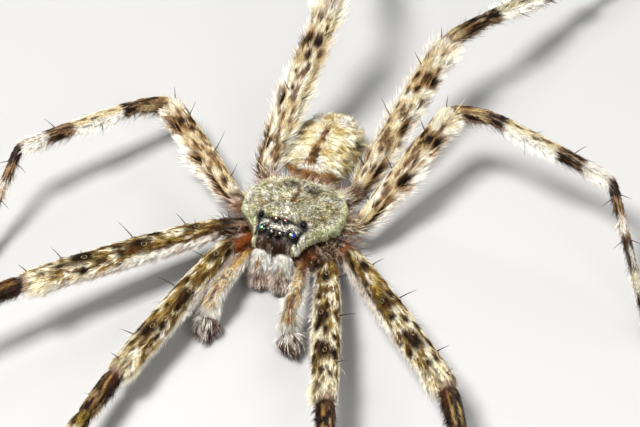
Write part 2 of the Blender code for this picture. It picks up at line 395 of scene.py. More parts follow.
@dataclass
class Shell:
    """Points and triangles that gather until they become one mesh."""

    points: list[Array] = field(default_factory=list)
    triangles: list[Array] = field(default_factory=list)
    corners: list[Array] = field(default_factory=list)
    tints: list[Array] = field(default_factory=list)
    along: list[Array] = field(default_factory=list)
    count: int = 0

    def add(self, points: Array, triangles: Array, corners: Array, tints: Array, along: Array) -> None:
        """Adds a part.

        Args:
            points: The vertices, in mm.
            triangles: Three vertex numbers a row, counted within this part.
            corners: The map's place of each triangle's three corners.
            tints: A colour for each vertex.
            along: 0 at a root to 1 at a tip, for each vertex.
        """
        self.points.append(points)
        self.triangles.append(triangles + self.count)
        self.corners.append(corners)
        self.tints.append(tints)
        self.along.append(along)
        self.count += len(points)

    @property
    def size(self) -> int:
        """How many triangles there are."""
        return sum(len(part) for part in self.triangles)

    def piece(self, name: str, material: Material, slot: str, *replaced: str) -> Piece:
        """Makes the mesh and its object, which rides on the spider's one body.

        Args:
            name: The piece's name.
            material: Its finish.
            slot: Not used.
            *replaced: CAD nodes that the piece stands for.

        Returns:
            The new object.
        """
        points = Placing.row(np.concatenate(self.points))
        triangles = np.concatenate(self.triangles).astype(np.int32)
        mesh = bpy.data.meshes.new(name)
        mesh.vertices.add(len(points))
        mesh.vertices.foreach_set("co", points.astype(np.float32).ravel())
        mesh.loops.add(triangles.size)
        mesh.loops.foreach_set("vertex_index", triangles.ravel())
        mesh.polygons.add(len(triangles))
        mesh.polygons.foreach_set("loop_start", np.arange(0, triangles.size, 3, dtype=np.int32))
        mesh.update(calc_edges=True)
        mesh.shade_smooth()
        layer = mesh.uv_layers.new(name="OFBake")
        layer.uv.foreach_set("vector", np.concatenate(self.corners).astype(np.float32).ravel())
        tints = np.concatenate(self.tints)
        tint = mesh.attributes.new("tint", "FLOAT_COLOR", "POINT")
        tint.data.foreach_set("color", columns(*np.clip(tints, 0, 1).T, 1.0).astype(np.float32).ravel())
        along = mesh.attributes.new("along", "FLOAT", "POINT")
        along.data.foreach_set("value", np.concatenate(self.along).astype(np.float32))
        mesh.materials.append(material)
        made = bpy.data.objects.new(name, mesh)
        bpy.context.scene.collection.objects.link(made)
        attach(made, BODY)
        if replaced:
            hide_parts(*replaced)
        log.info("%s: %d triangles", name, self.size)
        return made


class Placing:
    """Where the axes of the legs' layout lie in the frame."""

    shift = np.zeros(3)

    @classmethod
    def find(cls) -> None:
        """Reads the shift from the frame: the middle of the sternum's lowest ring is the layout's origin."""
        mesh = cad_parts["prosoma"].data
        points = np.empty(len(mesh.vertices) * 3)
        mesh.vertices.foreach_get("co", points)
        points = points.reshape(-1, 3)
        lowest = points[points[:, 2] < points[:, 2].min() + 0.01 * MM]
        cls.shift = np.array([*((lowest.min(0) + lowest.max(0)) / 2)[:2], 0.0])

    @classmethod
    def row(cls, points: Array) -> Array:
        """Points in mm as points of the frame, in metres."""
        return points * MM + cls.shift


@dataclass(frozen=True)
class Cell:
    """A rectangle of a piece's map, for one surface."""

    x: float = 0.0
    y: float = 0.0
    width: float = 1.0
    height: float = 1.0

    def place(self, u: Array, v: Array) -> Array:
        """The map's place for a surface's two parameters, each from 0 to 1."""
        return columns(self.x + self.width * u, self.y + self.height * v)


class Surface(ABC):
    """A closed skin: a function of u, from pole to pole, and v, once around, both from 0 to 1."""

    rows: int = 60
    around: int = 40

    @abstractmethod
    def point(self, u: Array, v: Array) -> Array:
        """The skin's points, in mm."""

    @abstractmethod
    def tint(self, u: Array, v: Array) -> Array:
        """The markings' colour."""

    def sense(self) -> float:
        """1 where turning from u to v points outwards, else -1: tested on a ring against its middle."""
        if not hasattr(self, "_sense"):
            v = np.arange(8) / 8
            u = np.full(8, 0.45)
            points = self.point(u, v)
            away = points - points.mean(axis=0)
            self._sense = math.copysign(1.0, float((self._cross(u, v) * away).sum()))
        return self._sense

    def steps(self, u: Array, v: Array) -> tuple[Array, Array]:
        """How far the skin's point moves for a full unit of u and of v."""
        step = 1e-3
        low, high = np.clip(u - step, 0, 1), np.clip(u + step, 0, 1)
        by_u = (self.point(high, v) - self.point(low, v)) / (high - low)[:, None]
        by_v = (self.point(u, v + step) - self.point(u, v - step)) / (2 * step)
        return by_u, by_v

    def _cross(self, u: Array, v: Array) -> Array:
        """The product of both moves, square to the skin."""
        by_u, by_v = self.steps(u, v)
        return np.cross(by_u, by_v)

    def basis(self, u: Array, v: Array) -> tuple[Array, Array, Array, Array]:
        """The skin's own directions.

        Args:
            u: From pole to pole.
            v: Around.

        Returns:
            Points, outward normals, the way that hair lies, and the area of a unit of u times one of v.
        """
        by_u, by_v = self.steps(u, v)
        cross = np.cross(by_u, by_v) * self.sense()
        return self.point(u, v), unit(cross), self.lie(u, v, unit(by_u)), np.linalg.norm(cross, axis=1)

    def lie(self, u: Array, v: Array, along: Array) -> Array:
        """The way that hair lies: along u unless a surface says otherwise."""
        return along

    def weave(self, shell: Shell, cell: Cell) -> None:
        """Adds the skin's grid to a shell, with one vertex at each pole.

        Args:
            shell: What gathers the skin.
            cell: The surface's place on the map.
        """
        rows, around = self.rows, self.around
        u, v = np.meshgrid(np.linspace(0, 1, rows + 1)[1:-1], np.arange(around) / around, indexing="ij")
        u = np.concatenate([[0.0], u.ravel(), [1.0]])
        v = np.concatenate([[0.0], v.ravel(), [0.0]])
        last = len(u) - 1
        row = np.arange(rows - 1)[:, None] * around + 1
        j = np.arange(around)[None, :]
        k = (j + 1) % around
        near, far = row[:-1], row[1:]
        quads = [np.stack([near + j, near + k, far + k], -1), np.stack([near + j, far + k, far + j], -1)]
        fans = [np.stack([np.zeros_like(j), 1 + k, 1 + j], -1),
                np.stack([row[-1] + j, row[-1] + k, np.full_like(j, last)], -1)]
        triangles = np.concatenate([part.reshape(-1, 3) for part in quads + fans])
        corner_u, corner_v = u[triangles], v[triangles]
        top = corner_v.max(axis=1, keepdims=True)
        corner_v = np.where((corner_v == 0) & (top > 0.6), 1.0, corner_v)
        pole = (triangles == 0) | (triangles == last)
        middle = np.where(pole, 0, corner_v).sum(axis=1, keepdims=True) / 2
        corner_v = np.where(pole, middle, corner_v)
        if self.sense() < 0:
            triangles, corner_u, corner_v = (part[:, ::-1] for part in (triangles, corner_u, corner_v))
        corners = cell.place(corner_u, corner_v)
        shell.add(self.point(u, v), triangles, corners, self.tint(u, v), np.zeros(len(u)))


# ---- coat


@dataclass
class Growth:
    """How hair grows at each of a row of places."""

    per_mm2: Array | float
    length: Array | float
    lift: Array | float  # off the skin at the root
    width: float = 0.06  # at the root
    settle: float = 0.35  # share of the lift that is left at the tip
    stray: Array | float = 10.0  # either way within the skin's plane
    tuft: float = 0.45  # width of a tuft
    gather: float = 0.3  # how far a tuft's tips draw together
    rings: int = 1
    fleck: Array | float = 0.12  # how much the brightness varies from hair to hair
    patchy: float = 0.4  # and from tuft to tuft
    dye: Array | None = None  # the hair's own colour, where it isn't the skin's


Layer = Callable[[Array, Array], Growth]


class Coat:
    """One piece of coat: hairs as closed slender spikes, in tufts that lie along the body."""

    sunk = 0.02  # how deep a root stands in the skin
    lowest = 0.004  # no hair reaches further down

    def __init__(self, seed: int, cells: tuple[int, int] = (240, 36)) -> None:
        """Starts an empty coat.

        Args:
            seed: Of its random numbers.
            cells: How many small cells a surface has from pole to pole and around.
        """
        self.cells = cells
        self.shell = Shell()
        self.random = np.random.default_rng(seed)

    def grow(self, surface: Surface, layer: Layer, cell: Cell = Cell()) -> None:
        """Grows one layer of hair on a surface.

        The number of hairs in each small cell is drawn by chance, about its area times the density there.

        Args:
            surface: What carries the hair.
            layer: Gives the growth at places on it.
            cell: The surface's place on the piece's map.
        """
        rows, around = self.cells
        u, v = np.meshgrid((np.arange(rows) + 0.5) / rows, (np.arange(around) + 0.5) / around, indexing="ij")
        u, v = u.ravel(), v.ravel()
        area = surface.basis(u, v)[3] / (rows * around)
        expected = np.maximum(layer(u, v).per_mm2, 0) * area
        chosen = np.repeat(np.arange(len(u)), self.random.poisson(expected))
        u = np.clip(u[chosen] + (self.random.random(len(chosen)) - 0.5) / rows, 0.001, 0.999)
        v = (v[chosen] + (self.random.random(len(chosen)) - 0.5) / around) % 1.0
        self._strands(surface, layer(u, v), u, v, cell)

    def _tufts(
        self, surface: Surface, growth: Growth, u: Array, v: Array, points: Array
    ) -> tuple[Array, Array]:
        """Finds each hair's tuft.

        Args:
            surface: What carries the hair.
            growth: The growth at each hair.
            u: Of the roots.
            v: Of the roots.
            points: Of the roots.

        Returns:
            The way from each root to its tuft's middle, and four numbers from 0 to 1 that its tuft shares.
        """
        by_u, by_v = surface.steps(np.array([0.5, 0.5]), np.array([0.0, 0.5]))
        along = max(1, round(float(np.linalg.norm(by_u, axis=1).max()) / growth.tuft))
        across = max(3, round(float(np.linalg.norm(by_v, axis=1).max()) / growth.tuft))
        row = np.floor(u * along)
        column = np.floor((v + chance(columns(row, 0, 5)) / across) * across) % across
        shares = columns(*(chance(columns(row, column, k)) for k in range(4)))
        middle_u = (row + 0.3 + 0.4 * shares[:, 0]) / along
        middle_v = (column + 0.3 + 0.4 * shares[:, 1]) / across - chance(columns(row, 0, 5)) / across
        return surface.point(np.clip(middle_u, 0, 1), middle_v % 1.0) - points, shares

    def _strands(self, surface: Surface, growth: Growth, u: Array, v: Array, cell: Cell) -> None:
        """Adds a spike for each root.

        A hair's middle line is a curve of second degree that leaves the skin a little steeper than its
        lift and settles towards the skin. Three edges run round that line, drawn in to nothing at the tip.

        Args:
            surface: What carries the hair.
            growth: The growth at each hair.
            u: Of the roots.
            v: Of the roots.
            cell: The surface's place on the map.
        """
        count, rings = len(u), growth.rings
        if not count:
            return
        points, normals, ways, _ = surface.basis(u, v)
        to_middle, shares = self._tufts(surface, growth, u, v, points)
        spread = self.random.normal(size=(4, count))
        turn = np.radians(growth.stray * (0.6 * spread[0] + 1.2 * (shares[:, 2] - 0.5)))[:, None]
        across = np.cross(ways, normals)
        ways = ways * np.cos(turn) + across * np.sin(turn)
        across = np.cross(ways, normals)
        length = growth.length * (1 + 0.18 * spread[1]).clip(0.5, 1.5) * (0.85 + 0.3 * shares[:, 3])
        lift = growth.lift * (1 + 0.22 * spread[2]).clip(0.4, 1.8) + 6 * (shares[:, 0] - 0.5)
        leave, arrive = np.radians(lift * 1.3)[:, None], np.radians(lift * growth.settle)[:, None]
        half = length[:, None] / 2
        root = points - normals * self.sunk
        first, second = (ways * np.cos(rise) + normals * np.sin(rise) for rise in (leave, arrive))
        knee = root + first * half + to_middle * growth.gather * 0.4
        tip = knee + second * half + to_middle * growth.gather * 0.6
        step = np.linspace(0, 1, rings + 1)[:-1]
        line = (root[:, None] * ((1 - step) ** 2)[:, None] + knee[:, None] * (2 * step * (1 - step))[:, None]
                + tip[:, None] * (step ** 2)[:, None])
        angle = np.radians([90, 210, 330])
        thick = growth.width / 2 * (1 - step) ** 0.6 * np.where(step == 0, 0.8, 1)
        edge = (across[:, None, None] * (np.cos(angle)[None, None, :, None])
                + normals[:, None, None] * (0.6 * np.sin(angle)[None, None, :, None]))
        rim = line[:, :, None] + edge * thick[None, :, None, None]
        verts = np.concatenate([rim.reshape(count, rings * 3, 3), tip[:, None]], axis=1)
        verts[..., 2] = np.maximum(verts[..., 2], self.lowest)
        triangles, place, along = self._pattern(rings)
        total = 3 * rings + 1
        faces = (triangles[None] + (np.arange(count) * total)[:, None, None]).reshape(-1, 3)
        origin = cell.place(u, v) * (1 - PATCH)
        corners = (origin[:, None, None] + place[triangles][None] * PATCH).reshape(-1, 3, 2)
        shade = 1 + growth.fleck * spread[3] + growth.patchy * (shares[:, 3] - 0.5)
        tint = (surface.tint(u, v) if growth.dye is None else growth.dye) * shade.clip(0.35, 1.6)[:, None]
        self.shell.add(verts.reshape(-1, 3), faces, corners, np.repeat(tint, total, axis=0),
                       np.tile(along, count))

    @staticmethod
    def _pattern(rings: int) -> tuple[Array, Array, Array]:
        """The triangles of one spike.

        Args:
            rings: How many rings of three it has below its tip.

        Returns:
            Its triangles, each vertex's place within the hair's patch, and how far along each vertex is.
        """
        triangles = [(0, 2, 1)]
        for ring, side in itertools.product(range(rings - 1), range(3)):
            a, b = 3 * ring + side, 3 * ring + (side + 1) % 3
            triangles += [(a, b, b + 3), (a, b + 3, a + 3)]
        last = 3 * (rings - 1)
        triangles += [(last + side, last + (side + 1) % 3, 3 * rings) for side in range(3)]
        height = np.repeat(np.arange(rings) / rings, 3)
        place = columns(height + np.tile([0, 0, 0.2], rings) / rings, np.tile([0, 1, 0.5], rings))
        place = np.concatenate([place, [[1.0, 0.5]]])
        return np.array(triangles), place, np.concatenate([height, [1.0]])

    def piece(self, name: str, finish: HairFinish, slot: str) -> Piece:
        """Makes the coat's mesh.

        Args:
            name: The piece's name.
            finish: The hair's finish.
            slot: Not used.

        Returns:
            The new object.
        """
        if self.shell.size > COAT_LIMIT:
            log.warning("%s has %d triangles, above %d", name, self.shell.size, COAT_LIMIT)
        return self.shell.piece(name, finish.material(), slot)


# ---- the trunk's layout


BODY_TURN = -3.5
CARAPACE_SHIFT = -0.15
TRUNK_WIDTH, TRUNK_LENGTH = 4.0, 5.4
COXA_ROOT_Z = 1.92


def on_carapace(points: Array) -> Array:
    """Points given along the carapace's own middle line, after its turn and shift."""
    return turned(points, BODY_TURN) + np.array([CARAPACE_SHIFT, 0, 0])


def trunk_point(degrees: float, z: float, share: float = 1.0) -> Array:
    """A point on the trunk's upright elliptic wall, or within it."""
    turn = math.radians(degrees)
    flat = np.array([TRUNK_WIDTH / 2 * share * math.cos(turn), TRUNK_LENGTH / 2 * share * math.sin(turn), z])
    return turned(flat, BODY_TURN)


def sign_of(name: str) -> float:
    """1 for a name that starts with L, on the left, and -1 for one on the right."""
    return 1.0 if name[0] == "L" else -1.0


def heading(azimuth: float, pitch: float) -> Array:
    """The unit vector at these angles."""
    turn, rise = math.radians(azimuth), math.radians(pitch)
    return np.array([math.cos(rise) * math.cos(turn), math.cos(rise) * math.sin(turn), math.sin(rise)])


# ---- limbs


@dataclass(frozen=True)
class Length:
    """One length of a limb: how thick it is and how deep its coat lies."""

    name: str
    radii: tuple[float, float, float]  # root, belly and tip, out to the coat's tips
    depth: float  # of the coat
    waist: float = 0.12  # how much the skin draws in at the joint before it


class Limb(Surface):
    """A chain of lengths with one skin: rings carried along a line whose corners are rounded.

    A point at s along the line and at an angle from the top is the line's point plus the radius there,
    turned between the upward and the forward direction.
    """

    spacing = 0.1
    rounding = 0.32  # of the line's corners
    softening = 0.12  # of the radius's steps
    cap = 0.35  # how far from an end its rounding starts
    pinch = 0.35  # reach of the waist at a joint
    lowest = 0.01  # no skin reaches further down

    def __init__(
        self, joints: Array, lengths: tuple[Length, ...], sign: float, girth: float, seed: float
    ) -> None:
        """Lays the limb out.

        Args:
            joints: The joints' places, one more than there are lengths.
            lengths: The lengths in order.
            sign: 1 on the left side, -1 on the right.
            girth: A factor on the radii.
            seed: Moves the noise of the markings.
        """
        self.lengths, self.sign, self.seed = lengths, sign, seed
        spans = np.linalg.norm(np.diff(joints, axis=0), axis=1)
        self.ends = np.concatenate([[0.0], np.cumsum(spans)])
        self.total = self.ends[-1]
        self.s = np.linspace(0, self.total, round(self.total / self.spacing) + 1)
        self.line = self._rounded(read(self.s, self.ends, joints), self.rounding)
        ways = unit(np.gradient(self.line, axis=0))
        side = unit(np.cross(ways, [0.0, 0.0, 1.0]))
        self.up = np.cross(side, ways)
        self.front = side * sign
        self.radius = self._rounded(self._radii(girth)[:, None], self.softening)[:, 0]

    def _rounded(self, values: Array, spread: float) -> Array:
        """Rows averaged along the line with a bell of the given spread, with straight ends kept."""
        reach = math.ceil(3 * spread / self.spacing)
        weights = np.exp(-0.5 * (np.arange(-reach, reach + 1) * self.spacing / spread) ** 2)
        weights /= weights.sum()
        steps = np.arange(reach, 0, -1)[:, None]
        before = values[0] - (values[1] - values[0]) * steps
        after = values[-1] + (values[-1] - values[-2]) * steps[::-1]
        padded = np.concatenate([before, values, after])
        return np.stack([np.convolve(column, weights, "valid") for column in padded.T], axis=1)

    def _radii(self, girth: float) -> Array:
        """The skin's radius along the line: each length's taper and swell, less its coat and its waist."""
        radius = np.zeros_like(self.s)
        for k, part in enumerate(self.lengths):
            here = (self.s >= self.ends[k]) & (self.s <= self.ends[k + 1])
            share = (self.s[here] - self.ends[k]) / (self.ends[k + 1] - self.ends[k])
            root, belly, tip = part.radii
            swell = (belly - (root + tip) / 2) * np.sin(np.pi * share ** 0.8)
            radius[here] = (root + (tip - root) * share + swell) * girth - part.depth
        for end, part in zip(self.ends[1:-1], self.lengths[1:]):
            radius *= 1 - part.waist * bell(self.s, end, self.pinch)
        return radius

    def locate(self, s: Array) -> tuple[Array, Array]:
        """Which length each place is on, and how far along it from 0 to 1."""
        index = np.clip(np.searchsorted(self.ends, s, side="right") - 1, 0, len(self.lengths) - 1)
        return index, (s - self.ends[index]) / (self.ends[index + 1] - self.ends[index])

    def angle(self, v: Array) -> Array:
        """Degrees from the top, towards the front above zero, for a place around the limb."""
        return (v * 360 + 180) % 360 - 180

    def point(self, u: Array, v: Array) -> Array:
        """The limb's skin, drawn in to a round cap at both ends."""
        s = u * self.total
        line, up, front = (read(s, self.s, table) for table in (self.line, self.up, self.front))
        near_end = np.clip(np.minimum(s, self.total - s) / self.cap, 0, 1)
        radius = np.interp(s, self.s, self.radius) * np.sqrt(np.clip(1 - (1 - near_end) ** 2, 0, 1))
        turn = 2 * np.pi * v
        points = line + spoke(turn, up, front) * radius[..., None]
        points[..., 2] = np.maximum(points[..., 2], self.lowest)
        return points

    def noise_place(self, s: Array, degrees: Array, stretch: float = 0.45) -> Array:
        """Where noise is read, drawn out along the limb and closed around it."""
        turn = np.radians(degrees)
        return columns(s * stretch, 0.9 * np.cos(turn), 0.9 * np.sin(turn)) + self.seed


@dataclass(frozen=True)
class LegPair:
    """What both legs of a pair share."""

    coxa_angle: float
    hip: tuple[float, float, float]  # on the left side
    lengths: tuple[float, ...]  # femur, patella, tibia, metatarsus, tarsus
    girth: float
    fringe: float  # how far the long hair of the front edge stands out, 0 to 1
    flank: float  # degrees from the top where the pale front begins
    pile: float  # length of the hair there


PAIRS = {
    "1": LegPair(-40, (3.9, -4.1, 2.9), (15.4, 4.6, 15.0, 15.4, 4.0), 1.00, 0.0, 70, 0.50),
    "2": LegPair(-9, (5.1, -2.6, 3.0), (16.6, 4.8, 16.2, 16.6, 4.2), 1.03, 0.0, 60, 0.72),
    "3": LegPair(20, (5.0, 0.7, 2.92), (11.8, 3.6, 10.4, 11.0, 3.0), 0.95, 1.0, 66, 0.95),
    "4": LegPair(52, (3.8, 4.2, 2.95), (15.2, 3.9, 12.6, 14.6, 3.6), 0.98, 0.9, 66, 0.90),
}

# (azimuth, pitch) of femur, patella and tibia, then the azimuths of metatarsus and tarsus
STANCE = {
    "R1": ((-103, 0), (-98, 3), (-96, 4), -92, -90),
    "L1": ((-74, 6), (-72, 10), (-74, 2), -80, -82),
    "R2": ((-131, 9), (-128, 6), (-122, -2), -112, -108),
    "L2": ((-49, 5), (-66, 8), (-68, 1), -74, -78),
    "R3": ((134, 3), (-124, 24), (-128, 6), -96, -92),
    "L3": ((68, 19), (-15, 16), (-14, -9), -60, -62),
    "R4": ((82, 32), (96, 4), (100, -20), 106, 108),
    "L4": ((78, 17), (56, 3), (66, -16), 58, 56),
}
ANKLE_Z, TOE_Z = 0.8, 0.16


class Part(IntEnum):
    """The lengths of a leg, in order."""

    COXA = 0
    FEMUR = 1
    PATELLA = 2
    TIBIA = 3
    METATARSUS = 4
    TARSUS = 5


LEG_LENGTHS = (
    Length("coxa", (0.55, 0.68, 0.76), 0.06),
    Length("femur", (0.84, 1.14, 1.00), 0.22, 0.14),
    Length("patella", (0.70, 0.72, 0.62), 0.10, 0.20),
    Length("tibia", (0.62, 0.68, 0.54), 0.13, 0.14),
    Length("metatarsus", (0.44, 0.42, 0.36), 0.09, 0.14),
    Length("tarsus", (0.40, 0.44, 0.34), 0.08, 0.14),
)


@dataclass(frozen=True)
class Pelt:
    """The coat of one length of a leg."""

    top: float  # length of the short hair on top
    side: float  # and at the sides
    lift: float
    side_lift: float
    fur: float  # short hairs to a square mm
    long: float  # long hairs to a square mm, at the sides and below
    long_length: float
    long_lift: float


PELTS = (
    Pelt(0.60, 0.90, 30, 36, 60, 14, 1.30, 46),
    Pelt(0.52, 0.78, 15, 25, 142, 20, 1.15, 36),
    Pelt(0.44, 0.60, 18, 30, 96, 20, 0.95, 44),
    Pelt(0.48, 0.76, 18, 30, 118, 20, 0.98, 40),
    Pelt(0.42, 0.56, 18, 30, 112, 14, 0.72, 34),
    Pelt(0.30, 0.40, 16, 26, 110, 8, 0.45, 36),
)

# dark marks of a femur: share of its length, degrees from the top to the front, half length, half width
FEMUR_MARKS = (
    (0.14, 8, 0.60, 0.36), (0.42, 22, 0.85, 0.44), (0.70, 12, 0.95, 0.50), (0.71, -40, 0.60, 0.30),
    (0.04, 40, 0.50, 0.26), (0.09, 52, 0.50, 0.20), (0.27, 44, 0.34, 0.20), (0.36, -6, 0.40, 0.20),
    (0.41, -48, 0.60, 0.26), (0.51, 40, 0.36, 0.22), (0.55, 2, 0.36, 0.20), (0.60, -28, 0.40, 0.20),
    (0.64, 44, 0.44, 0.24), (0.71, 64, 0.40, 0.22), (0.82, 24, 0.40, 0.20), (0.84, -20, 0.36, 0.18),
    (0.92, 30, 0.34, 0.18),
)
REAR_MARKS = (
    (0.13, 20, 0.45, 0.20), (0.10, 62, 1.50, 0.22), (0.30, -10, 0.20, 0.12), (0.38, 55, 0.55, 0.30),
    (0.45, 10, 0.24, 0.14), (0.52, 34, 0.26, 0.15), (0.60, -30, 0.34, 0.16), (0.66, 0, 0.40, 0.22),
    (0.72, 30, 0.60, 0.45), (0.73, -28, 0.55, 0.40), (0.71, 66, 0.60, 0.35), (0.82, -50, 0.30, 0.14),
)
TIBIA_MARKS = (
    (0.20, 10, 0.36, 0.20), (0.30, -24, 0.40, 0.20), (0.36, 26, 0.50, 0.22), (0.45, 4, 0.60, 0.26),
)


class Leg(Limb):
    """One of the eight legs."""

    around = 28
    speck_count = 46

    def __init__(self, name: str) -> None:
        """Lays the leg out.

        Args:
            name: Its side, L or R, and its pair, 1 to 4.
        """
        self.name = name
        self.pair = PAIRS[name[1]]
        self.last = name[1] == "4"
        sign = sign_of(name)
        order = list(STANCE).index(name)
        self.random = np.random.default_rng(100 + order)
        super().__init__(self._joints(sign), LEG_LENGTHS, sign, self.pair.girth, 17.3 * order)
        self.rows = round(self.total / 0.22)
        ranges = ((0.03, 0.95), (-84, 84), (0.14, 0.32), (0.08, 0.16))
        self.specks = np.stack([self.random.uniform(*ends, self.speck_count) for ends in ranges], axis=1)
        marks = np.array(REAR_MARKS if self.pair.fringe else FEMUR_MARKS)
        self.marks = marks + self.random.normal(size=marks.shape) * (0.012, 5, 0.04, 0.02)
        self.tibia_marks = np.array(TIBIA_MARKS)

    def _joints(self, sign: float) -> Array:
        """The joints' places, from inside the trunk to the toe, as the frame's solids have them."""
        degrees = self.pair.coxa_angle if sign > 0 else 180 - self.pair.coxa_angle
        points = [trunk_point(degrees, COXA_ROOT_Z, 0.7), np.array(self.pair.hip) * (sign, 1, 1)]
        stance = STANCE[self.name]
        for (azimuth, pitch), length in zip(stance[:3], self.pair.lengths):
            points.append(points[-1] + heading(azimuth, pitch) * length)
        for azimuth, length, height in zip(stance[3:], self.pair.lengths[3:], (ANKLE_Z, TOE_Z)):
            pitch = math.degrees(math.asin((height - points[-1][2]) / length))
            points.append(points[-1] + heading(azimuth, pitch) * length)
        return np.array(points)

    def reach(self, part: Part) -> tuple[float, float]:
        """Where one of the leg's lengths starts, and how long it is."""
        start = self.ends[part]
        return start, self.ends[part + 1] - start

    def _spotted(self, spots: Array, part: Part, s: Array, degrees: Array, ragged: Array) -> Array:
        """Measures how far each place is from the nearest of some spots.

        Args:
            spots: Share of the length, degrees, half length and half width of each.
            part: The length that they are on.
            s: The places along the limb.
            degrees: The places around the limb.
            ragged: Noise from 0 to 1 that frays the edges.

        Returns:
            The distance, where 1 is the spot's edge.
        """
        start, span = self.reach(part)
        along = (s[:, None] - start - spots[None, :, 0] * span) / spots[None, :, 2]
        across = np.radians(degrees[:, None] - spots[None, :, 1]) * 0.95 / spots[None, :, 3]
        nearest = np.sqrt(along ** 2 + across ** 2).min(axis=1)
        return nearest + 1.35 * (ragged - 0.5)

    def tint(self, u: Array, v: Array) -> Array:
        """The leg's markings, length by length. All painters take the same five values of a place."""
        s = u * self.total
        degrees = self.angle(v)
        index, share = self.locate(s)
        place = self.noise_place(s, degrees)
        wide = 0.6 * cloud(place, 0.9) + 0.4 * cloud(place + 3, 0.4)
        fine = cloud(place * np.array([0.8, 1.9, 1.9]), 0.26)
        tints = np.empty((len(s), 3))
        painters = (self._coxa, self._femur, self._patella, self._tibia, self._metatarsus, self._tarsus)
        for k, paint in enumerate(painters):
            here = index == k
            tints[here] = paint(s[here], share[here], degrees[here], wide[here], fine[here])
        return tints

    def _coxa(self, s: Array, share: Array, degrees: Array, wide: Array, fine: Array) -> Array:
        """Rusty skin under brown, tan and pale hair, paler on the rear pairs."""
        pale = self.pair.fringe
        tan = mix(Hue.TAN, Hue.OCHRE, smooth(0.4, 0.6, wide))
        tints = mix(Hue.BROWN, tan, smooth(0.58, 0.70, fine + 0.20 * pale))
        tints = mix(tints, Hue.DARK, smooth(0.46, 0.58, wide) * (0.9 - 0.6 * pale))
        rust = mix(Hue.AMBER, Hue.CHESTNUT, 0.3)
        tints = mix(tints, rust, (1 - smooth(0.36, 0.46, wide)) * (0.9 - 0.4 * pale))
        tints = mix(tints, Hue.MAUVE, smooth(0.44, 0.56, wide) * 0.6 * pale)
        hair = mix(Hue.PINK, mix(Hue.TAN, Hue.CREAM, pale), smooth(0.4, 0.6, wide))
        return mix(tints, hair, smooth(0.66, 0.73, fine + 0.10 * pale) * (0.6 + 0.3 * pale))

    def _femur(self, s: Array, share: Array, degrees: Array, wide: Array, fine: Array) -> Array:
        """Gold, cream and olive with soft brown blotches, or cream with few marks, and a pale front side,
        dimmed with mauve painted shade below on the front pairs.
        """
        back = self.pair.fringe
        front = 1 - back
        tints = mix(Hue.WHITE, Hue.CREAM, smooth(0.30, 0.55, fine + 0.12 * front))
        straw = mix(Hue.HONEY, Hue.STRAW, 0.7 + 0.3 * front)
        patch = smooth(0.46, 0.57, wide - 0.4 * front * (wide - fine))
        tints = mix(tints, straw, patch * (0.65 + 0.2 * front))
        gold = smooth(0.45, 0.56, 0.4 * wide + 0.6 * fine + 0.14 * (0.42 - share)) * front
        ground = mix(Hue.GOLD, Hue.OLIVE, smooth(0.52, 0.61, fine))
        tints = mix(tints, ground, gold * 0.95)
        blotch = 0.7 * fine + 0.3 * wide
        tints = mix(tints, Hue.OCHRE, smooth(0.54, 0.64, blotch) * (0.16 + 0.29 * front))
        tints = mix(tints, Hue.BROWN, smooth(0.57, 0.66, blotch - 0.02) * (0.12 + 0.73 * front))
        crest = np.maximum(band(share, 0.34, 0.52, 0.05), band(share, 0.84, 0.98, 0.03))
        under = mix(Hue.CREAM, Hue.PINK, 0.4 + 0.6 * front)
        under = mix(under, Hue.WHITE, smooth(0.35, 0.6, fine + 0.35 * crest))
        # painted shade: mauve dims the pale lower sides of the front pairs
        under = mix(under, Hue.MAUVE, 0.25 * front * smooth(0.6, 0.4, wide))
        under = mix(under, Hue.TAN, smooth(0.54, 0.64, fine) * back * (1 - crest) * 0.5)
        flank = self.pair.flank + 26 * smooth(0.40, 0.66, share) * front
        flank = smooth(flank, flank + 14, degrees + 26 * (fine - 0.5))
        rear = smooth(80, 108, -degrees + 26 * (fine - 0.5)) * 0.85
        tints = mix(tints, under, np.maximum(flank, rear))
        tints = mix(tints, Hue.WHITE, smooth(62, 84, degrees) * smooth(0.40, 0.52, wide) * 0.7 * back)
        border = bell(degrees - self.pair.flank, 2, 8) * (1 - smooth(0.3, 0.6, share)) * front
        tints = mix(tints, Hue.BROWN, border * smooth(0.25, 0.5, wide))
        speck = self._spotted(self.specks, Part.FEMUR, s, degrees, fine)
        speck = speck / (1 + 0.5 * back)
        core = mix(mix(Hue.BROWN, Hue.DARK, 0.4), Hue.RUSSET, 0.3 * back)
        dot = mix(Hue.OCHRE, core, 1 - smooth(0.7, 1.15, speck))
        tints = mix(tints, dot, (1 - smooth(0.8, 1.5, speck)) * 0.9)
        mark = self._spotted(self.marks, Part.FEMUR, s, degrees, 0.6 * wide + 0.4 * fine)
        halo = mix(Hue.OCHRE, Hue.OLIVE, front)
        halo = mix(halo, Hue.BROWN, smooth(0.4, 0.6, fine) * (0.4 + 0.6 * front))
        tints = mix(tints, halo, (1 - smooth(0.9, 1.7, mark)) * 0.85)
        tints = mix(tints, mix(Hue.DARK, Hue.BROWN, smooth(0.56, 0.76, fine)), 1 - smooth(0.68, 1.08, mark))
        tints = mix(tints, Hue.BROWN, (1 - smooth(0.0, 0.05, share)) * 0.8)
        pale = mix(Hue.WHITE, Hue.CREAM, front)
        end = band(share, 0.87, 0.975, 0.03) * (0.25 + 0.5 * smooth(0.6, 0.4, fine))
        tints = mix(tints, pale, end * (1 - 0.4 * front))
        return mix(tints, Hue.TAN, smooth(0.972, 0.985, share))

